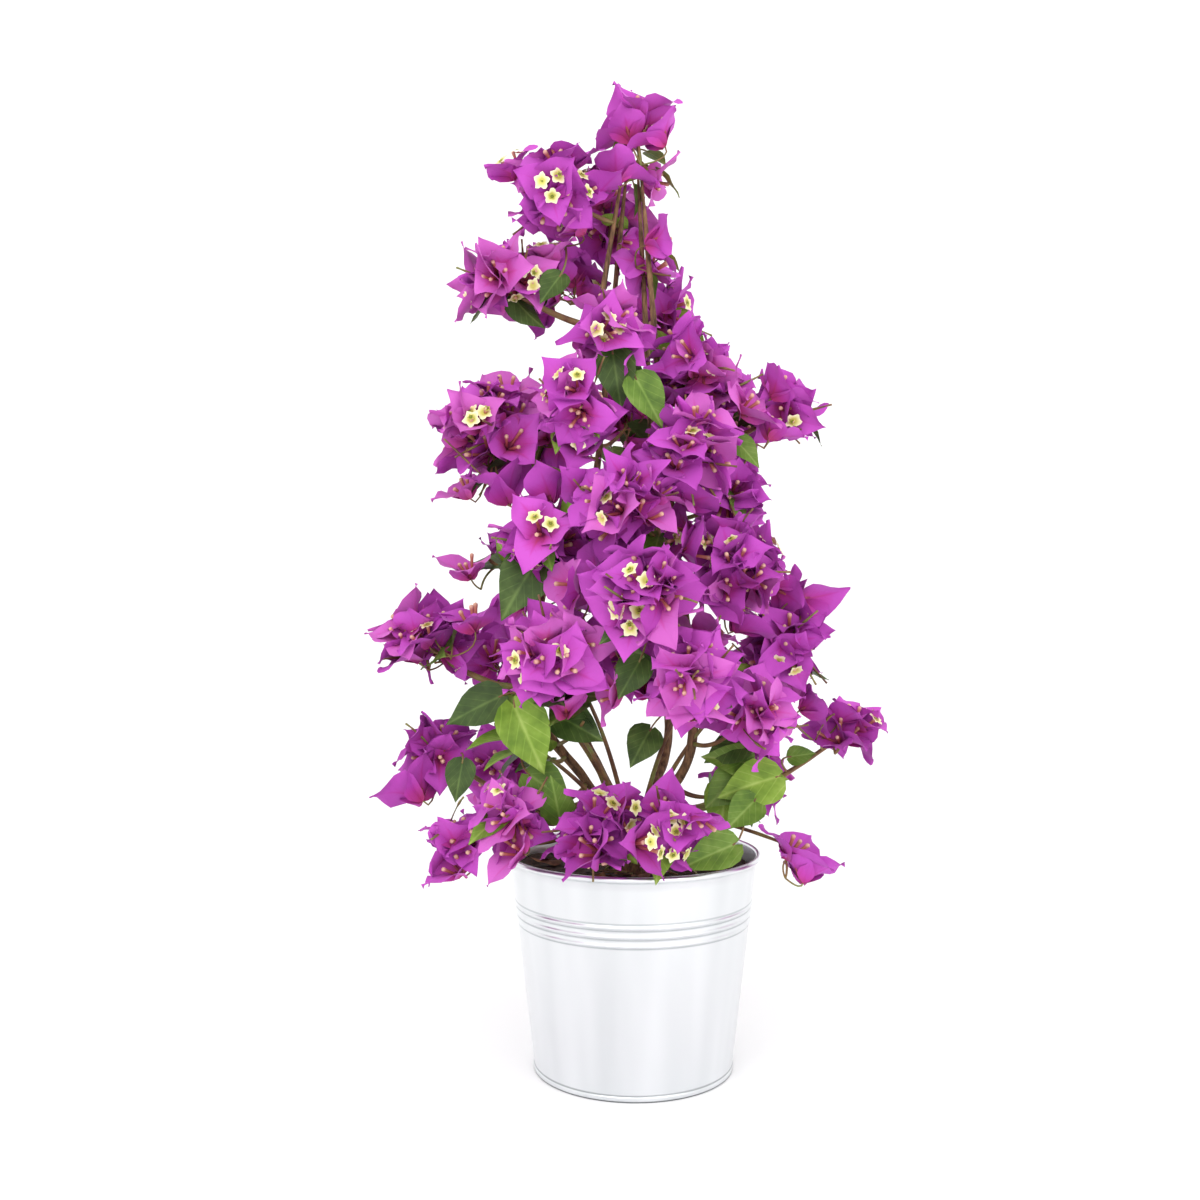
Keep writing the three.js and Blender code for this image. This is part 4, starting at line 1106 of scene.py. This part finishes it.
def deal_out(name, shapes, finish_used, length, places, seed, unevenness=0.06):
    """One joined mesh of shapes, a copy for each place."""
    mesh = bpy.data.meshes.new(name)
    mesh.from_pydata([tuple(place["base"] / 1000) for place in places], [], [])
    turns = [tuple(Matrix(place["turn"].tolist()).to_euler()) for place in places]
    mesh.attributes.new("turn", "FLOAT_VECTOR", "POINT").data.foreach_set("vector", np.array(turns).ravel())
    mesh.attributes.new("size", "FLOAT", "POINT").data.foreach_set("value", [place["size"] for place in places])
    mesh.attributes.new("kind", "INT", "POINT").data.foreach_set("value", [place["kind"] for place in places])
    piece = bpy.data.objects.new(name, mesh)
    bpy.context.scene.collection.objects.link(piece)
    modifier = piece.modifiers.new("deal out", "NODES")
    modifier.node_group = DEALING
    given = {"Shapes": shapes, "Finish": finish_used, "Length": length / 1000, "Unevenness": unevenness, "Seed": seed}
    for item in DEALING.interface.items_tree:
        if item.in_out == "INPUT" and item.name in given:
            modifier[item.identifier] = given[item.name]
    graph = bpy.context.evaluated_depsgraph_get()
    made = bpy.data.meshes.new_from_object(piece.evaluated_get(graph), depsgraph=graph)
    piece.modifiers.clear()
    piece.data = made
    made.name = name
    return piece


# ---------------------------------------------------------------- dressing the plant

def declare(piece, slot, *nodes, material=None):
    """Says which body and nodes a piece has; the slot is not used. One that has no material yet is given it."""
    if material:
        piece.data.materials.append(material)
        bpy.context.scene.collection.objects.link(piece)
    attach(piece, "root")
    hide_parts(*nodes)


rng = np.random.default_rng(7)
for bloom in blooms:
    bloom["kind"] = int(rng.integers(BLOOM_KINDS))
for leaf in leaves:
    leaf["kind"] = int(rng.integers(LEAF_KINDS))

bract_shapes = gather("bract shapes", [bract_trio(k) for k in range(BLOOM_KINDS)])
tube_shapes = gather("tube shapes", [tube_trio(k) for k in range(BLOOM_KINDS)])
star_shapes = gather("star shapes", [star_set(k, False) for k in range(BLOOM_KINDS)])
throat_shapes = gather("throat shapes", [star_set(k, True) for k in range(BLOOM_KINDS)])
leaf_shapes = gather("leaf shapes", [leaf_shape(k) for k in range(LEAF_KINDS)])

flowering = [f"spray_{spray.name}" for spray in sprays if spray.blooms]
leafy = [f"spray_{spray.name}" for spray in sprays if not spray.blooms]
for tint, (colour, bract_finish) in enumerate(zip(("violet", "magenta", "orchid", "pink"), bract_finishes)):
    own = [bloom for bloom in blooms if bloom["tint"] == tint]
    piece = deal_out(f"bracts_{colour}", bract_shapes, bract_finish, BRACT_LENGTH, own, tint)
    declare(piece, "spray", *flowering)
opened = [bloom for bloom in blooms if rng.random() < STAR_SHARE]
for name, shapes, its_finish, own in (("flower_tubes", tube_shapes, tube_finish, blooms),
                                      ("flowers", star_shapes, star_finish, opened),
                                      ("flower_throats", throat_shapes, throat_finish, opened)):
    declare(deal_out(name, shapes, its_finish, BRACT_LENGTH, own, 11, 0), "spray", *flowering)
for tint, (colour, leaf_finish) in enumerate(zip(("fresh", "green", "shaded"), leaf_finishes)):
    own = [leaf for leaf in leaves if leaf["tint"] == tint]
    piece = deal_out(f"leaves_{colour}", leaf_shapes, leaf_finish, LEAF_LENGTH, own, 20 + tint, 0.12)
    declare(piece, "leafy_spray", *leafy)


def bark_relief(seed, depth):
    """Lengthwise ridges and lumps of bark, as an addition to a limb's radius."""
    rng = np.random.default_rng(seed)
    ridges = [(int(rng.integers(2, 8)), rng.uniform(0.02, 0.16), rng.uniform(0, 6.3)) for _ in range(7)]
    lumps = [(rng.uniform(0.05, 0.3), rng.uniform(0, 6.3)) for _ in range(3)]

    def relief(turns, distance, radius):
        wave = sum(np.cos(count * turns + pitch * distance + phase) for count, pitch, phase in ridges) / 4
        swell = sum(math.sin(pitch * distance + phase) for pitch, phase in lumps) / 4
        return radius * depth * (wave - 0.4 * np.abs(wave) + swell)

    return relief


# How finely limbs are cut, the depth of their bark as a share of the radius, and how far stems run into the trunk.
BARK = dict(stem_points=261, stem_sides=18, stem_depth=0.16, shoot_points=41, shoot_sides=10, shoot_depth=0.13)
SUNK = np.linspace(14, 1, 8)

for number, stem in enumerate(stems):
    share = np.linspace(0, 1, BARK["stem_points"])
    points = stem.curve.at(share)
    sunk = points[0] - stem.curve.along(0)[0] * SUNK[:, None]
    ending = stem_radius(share) * np.interp(share, [0.9, 1], [1, 0.5])
    radii = np.concatenate([np.full(len(SUNK), stem_radius(0)), ending])
    relief = bark_relief(number, BARK["stem_depth"])
    heap = Heap()
    heap.add(*tube(np.concatenate([sunk, points]), radii, BARK["stem_sides"], relief))
    declare(heap.object(f"{stem.name}_bark"), "bark", stem.name, material=bark)

bough_heap = Heap()
for number, spray in enumerate(sprays):
    share = np.linspace(0, 1, BARK["shoot_points"])
    target, thick, root = (bough_heap, 1, BOUGH) if spray.bough else (twigs, 0.8, SHOOT)
    radii = root["root_radius"] + (SHOOT["tip_radius"] - root["root_radius"]) * share
    points = spray.curve.at(share)
    points[0] -= unit(points[1] - points[0]) * 2.5  # the foot sinks into the stem
    relief = bark_relief(50 + number, BARK["shoot_depth"])
    target.add(*tube(points, radii * thick, BARK["shoot_sides"], relief))
own_boughs = [f"bough_{spray.name}" for spray in sprays if spray.bough]
declare(bough_heap.object("boughs_bark"), "young_bark", *own_boughs, material=young_bark)
declare(twigs.object("twigs"), "young_bark", *flowering, *leafy, material=young_bark)


# ---------------------------------------------------------------- trunk, compost and bucket

def lathe(name, profile, sides, offset):
    """A turned mesh from a profile of (radius, height) pairs that starts and ends on the axis."""
    turns = CIRCLE * np.arange(sides) / sides
    inner = profile[1:-1]
    vertices, uvs = [], []
    for radius, height in inner:
        vertices.append(around(turns, radius + offset(turns, radius, height), height))
        uvs.append(np.stack([turns * 15 / math.pi, np.full(sides, height / 10)], -1))
    vertices.append([(0, 0, profile[0][1]), (0, 0, profile[-1][1])])
    uvs.append([(0, 0), (0, 0)])
    return mesh_object(name, np.concatenate(vertices), ringed(len(inner), sides), np.concatenate(uvs))


def wall_radius(height):
    return FOOT_RADIUS + (RIM_RADIUS - FOOT_RADIUS) * height / POT_HEIGHT


def bucket_profile():
    """The bucket's section: underside, foot seam, wall with its beads, rolled rim, then down inside to the floor."""
    profile = [(0, 0), (FOOT_RADIUS - 6, 0), (FOOT_RADIUS - 2, 0), (FOOT_RADIUS + SEAM_DEPTH - 0.6, 0),
               (FOOT_RADIUS + SEAM_DEPTH, 0.5)]
    profile += [(wall_radius(h) + SEAM_DEPTH, h) for h in (1.5, 2.8, SEAM_HEIGHT - 0.5)]
    profile += [(wall_radius(SEAM_HEIGHT) + SEAM_DEPTH * 0.7, SEAM_HEIGHT)]
    profile += [(wall_radius(h), h) for h in (SEAM_HEIGHT + 0.5, SEAM_HEIGHT + 1.4)]
    profile += [(wall_radius(h), h) for h in np.linspace(12, BEAD_HEIGHTS[0] - BEAD_HALF_WIDTH - 1, 12)]
    for height in BEAD_HEIGHTS:
        for step in np.linspace(-1, 1, 9):
            here = height + step * BEAD_HALF_WIDTH
            profile.append((wall_radius(here) + BEAD_DEPTH * math.cos(step * math.pi / 2) ** 2, here))
    roll_centre = POT_HEIGHT - ROLL_RADIUS
    profile += [(wall_radius(h), h) for h in np.linspace(BEAD_HEIGHTS[-1] + 4, roll_centre - 4, 6)]
    inner = wall_radius(roll_centre) - SHEET
    middle = inner + ROLL_RADIUS
    for turn in np.radians(np.linspace(-70, 180, 15)):
        profile.append((middle + ROLL_RADIUS * math.cos(turn), roll_centre + ROLL_RADIUS * math.sin(turn)))
    profile += [(wall_radius(h) - SHEET, h) for h in np.linspace(roll_centre - 3, POT_FLOOR, 14)]
    return profile + [(0, POT_FLOOR)]


SEAM_AZIMUTH, SEAM_HALF_ANGLE, SEAM_EDGE, SEAM_RISE = math.radians(90), math.radians(2.6), math.radians(0.8), 0.7


def lock_seam(turns, radius, height):
    """The upright lock seam down the back of the wall."""
    if not (SEAM_HEIGHT + 1 < height < POT_HEIGHT - 2 * ROLL_RADIUS) or radius < wall_radius(height) - 0.5:
        return 0
    off = np.abs(turned_off(turns, SEAM_AZIMUTH))
    return SEAM_RISE * np.clip((SEAM_HALF_ANGLE - off) / SEAM_EDGE + 0.5, 0, 1)


declare(lathe("bucket_zinc", bucket_profile(), 360, lock_seam), "zinc", "bucket", material=zinc)


def trunk_lobes(turns, radius, height):
    """Flutes down from the stems' feet, deeper towards the top."""
    rise = (height - SOIL_TOP) / (TRUNK_TOP - SOIL_TOP)
    lobes = sum(np.exp(-(turned_off(turns, math.radians(azimuth)) / 0.5) ** 2) for _, azimuth, *_ in STEMS)
    ridges = np.cos(9 * turns + 0.15 * height) + np.cos(14 * turns - 0.1 * height + 1)
    return radius * (0.14 * (lobes - 0.7) * max(rise, 0) + 0.03 * ridges)


TRUNK_NECK = 10.4  # the radius just under the stems' feet
TRUNK_FOOT = SOIL_TOP - 3
TRUNK_DOME = [(8.6, 2.6), (5, 3.4), (0, 3.2)]  # its rounded top: radius, and height over the solid one's
shares = np.linspace(0, 1, 26)
flare = [TRUNK_FLARE, (TRUNK_FLARE + TRUNK_WAIST) / 2, TRUNK_WAIST, TRUNK_NECK]
trunk_profile = [(0, TRUNK_FOOT)]
trunk_profile += zip(np.interp(shares, [0, 0.2, 0.55, 1], flare), TRUNK_FOOT + shares * (TRUNK_TOP + 1 - TRUNK_FOOT))
trunk_profile += [(radius, TRUNK_TOP + over) for radius, over in TRUNK_DOME]
declare(lathe("trunk_bark", trunk_profile, 72, trunk_lobes), "bark", "trunk", material=bark)


def crumbs(x, y):
    """Height of the compost's crumbly top over its mean level."""
    rough = 0
    rng = np.random.default_rng(5)
    for size in (46, 31, 22, 15, 10, 7, 5, 3.5):
        turn, phase, other = rng.uniform(0, 6.3, 3)
        along = x * math.cos(turn) + y * math.sin(turn)
        cross = -x * math.sin(turn) + y * math.cos(turn)
        rough = rough + size * 0.03 * np.sin(6.28 * along / size + phase) * np.sin(6.28 * cross / size + other)
    return rough


def compost_mesh():
    """The compost's body under a crumbly top that rises a little at the wall."""
    sides, rings = 120, 60
    inset = SHEET + 1.5 * CLEAR
    foot, brim = POT_FLOOR + CLEAR, wall_radius(SOIL_TOP) - inset
    turns = CIRCLE * np.arange(sides) / sides
    vertices = [around(turns, wall_radius(foot) - inset, foot), around(turns, brim - 0.2, SOIL_TOP - 3)]
    for ring in range(rings):
        radius = brim * (1 - ring / rings)
        x, y, _ = around(turns, radius).T
        vertices.append(around(turns, radius, SOIL_TOP - 1.5 + crumbs(x, y) + 2.5 * (radius / brim) ** 6))
    vertices = np.concatenate(vertices + [[(0, 0, foot), (0, 0, SOIL_TOP)]])
    return mesh_object("compost_crumbs", vertices, ringed(rings + 2, sides), vertices[:, :2] / 10)


declare(compost_mesh(), "compost", "compost", material=peat)

# Fallen leaves and dry twigs, curled and lying on the compost between the stems and the wall.
rng = np.random.default_rng(17)
fallen, litter = [], Heap()
for _ in range(FALLEN_LEAVES):
    base = around(rng.uniform(0, CIRCLE), rng.uniform(26, 84), SOIL_TOP + rng.uniform(1, 4))
    along = unit(around(rng.uniform(0, CIRCLE), 1, rng.uniform(-0.1, 0.25)))
    turn = turned_to(along, unit(np.array([0, 0, rng.choice([-1, 1])]) + rng.normal(0, 0.3, 3)))
    fallen.append(dict(base=base, turn=turn, size=rng.uniform(0.3, 0.55), kind=int(rng.integers(LEAF_KINDS))))
for _ in range(DRY_TWIGS):
    turn, reach, heading = rng.uniform(0, CIRCLE), rng.uniform(20, 60), rng.uniform(0, CIRCLE)
    start = around(turn, reach, SOIL_TOP + 1.5)
    run = around(heading, 1, rng.uniform(0, 0.2)) * rng.uniform(15, 30)
    line = twig_line(start, start + run / 2 + UP * 2 + rng.normal(0, 2, 3), start + run, 7)
    litter.add(*tube(line, np.linspace(0.9, 0.5, 7), 5))
declare(deal_out("fallen_leaves", leaf_shapes, dry_finish, LEAF_LENGTH, fallen, 31, 0.4), "compost", "compost")
declare(litter.object("dry_twigs"), "compost", "compost", material=young_bark)

# ---------------------------------------------------------------- studio: floor, light and camera

FLOOR_FRONT, FLOOR_BACK, SWEEP, WALL_TOP, FLOOR_SIDE = -3000, 900, 700, 4000, 4000
WORLD_STRENGTH = 1.12
# Name, place in metres, size in metres and power in watts; both face the middle of the plant.
SOFTBOXES = [("key light", (-0.8, -1.9, 1.5), 1.5, 12.5), ("fill light", (1.1, -1.7, 0.8), 1.6, 8.5)]
LIT = (0, 0, 0.42)


def backdrop():
    """A pale floor that sweeps up behind the plant."""
    turns = np.radians(np.linspace(6, 90, 15))
    line = [(FLOOR_FRONT, 0), (FLOOR_BACK, 0)]
    line += [(FLOOR_BACK + SWEEP * math.sin(turn), SWEEP - SWEEP * math.cos(turn)) for turn in turns]
    line += [(FLOOR_BACK + SWEEP, WALL_TOP)]
    vertices = [(x, y, z) for y, z in line for x in (-FLOOR_SIDE, FLOOR_SIDE)]
    faces = [(2 * i, 2 * i + 1, 2 * i + 3, 2 * i + 2) for i in range(len(line) - 1)]
    return mesh_object("floor", vertices, faces)


floor = backdrop()
floor.data.materials.append(floor_finish)
bpy.context.scene.collection.objects.link(floor)

world = bpy.data.worlds.new("white studio")
world.use_nodes = True
sky = world.node_tree.nodes["Background"]
sky.inputs["Color"].default_value, sky.inputs["Strength"].default_value = srgb("#ffffff"), WORLD_STRENGTH
bpy.context.scene.world = world


def softbox(name, place, size, power):
    """A square lamp that faces the plant."""
    light = bpy.data.lights.new(name, "AREA")
    light.shape, light.size, light.energy = "SQUARE", size, power
    lamp = bpy.data.objects.new(name, light)
    lamp.location = place
    lamp.rotation_euler = (Vector(LIT) - Vector(place)).to_track_quat("-Z", "Y").to_euler()
    bpy.context.scene.collection.objects.link(lamp)


for row in SOFTBOXES:
    softbox(*row)

camera = bpy.data.objects.new("camera", bpy.data.cameras.new("camera"))
camera.location = EYE / 1000
camera.rotation_euler = (math.pi / 2, 0, 0)
camera.data.lens, camera.data.sensor_width = 37.5, 36
bpy.context.scene.collection.objects.link(camera)
bpy.context.scene.camera = camera
bpy.context.scene.view_settings.view_transform = "Standard"
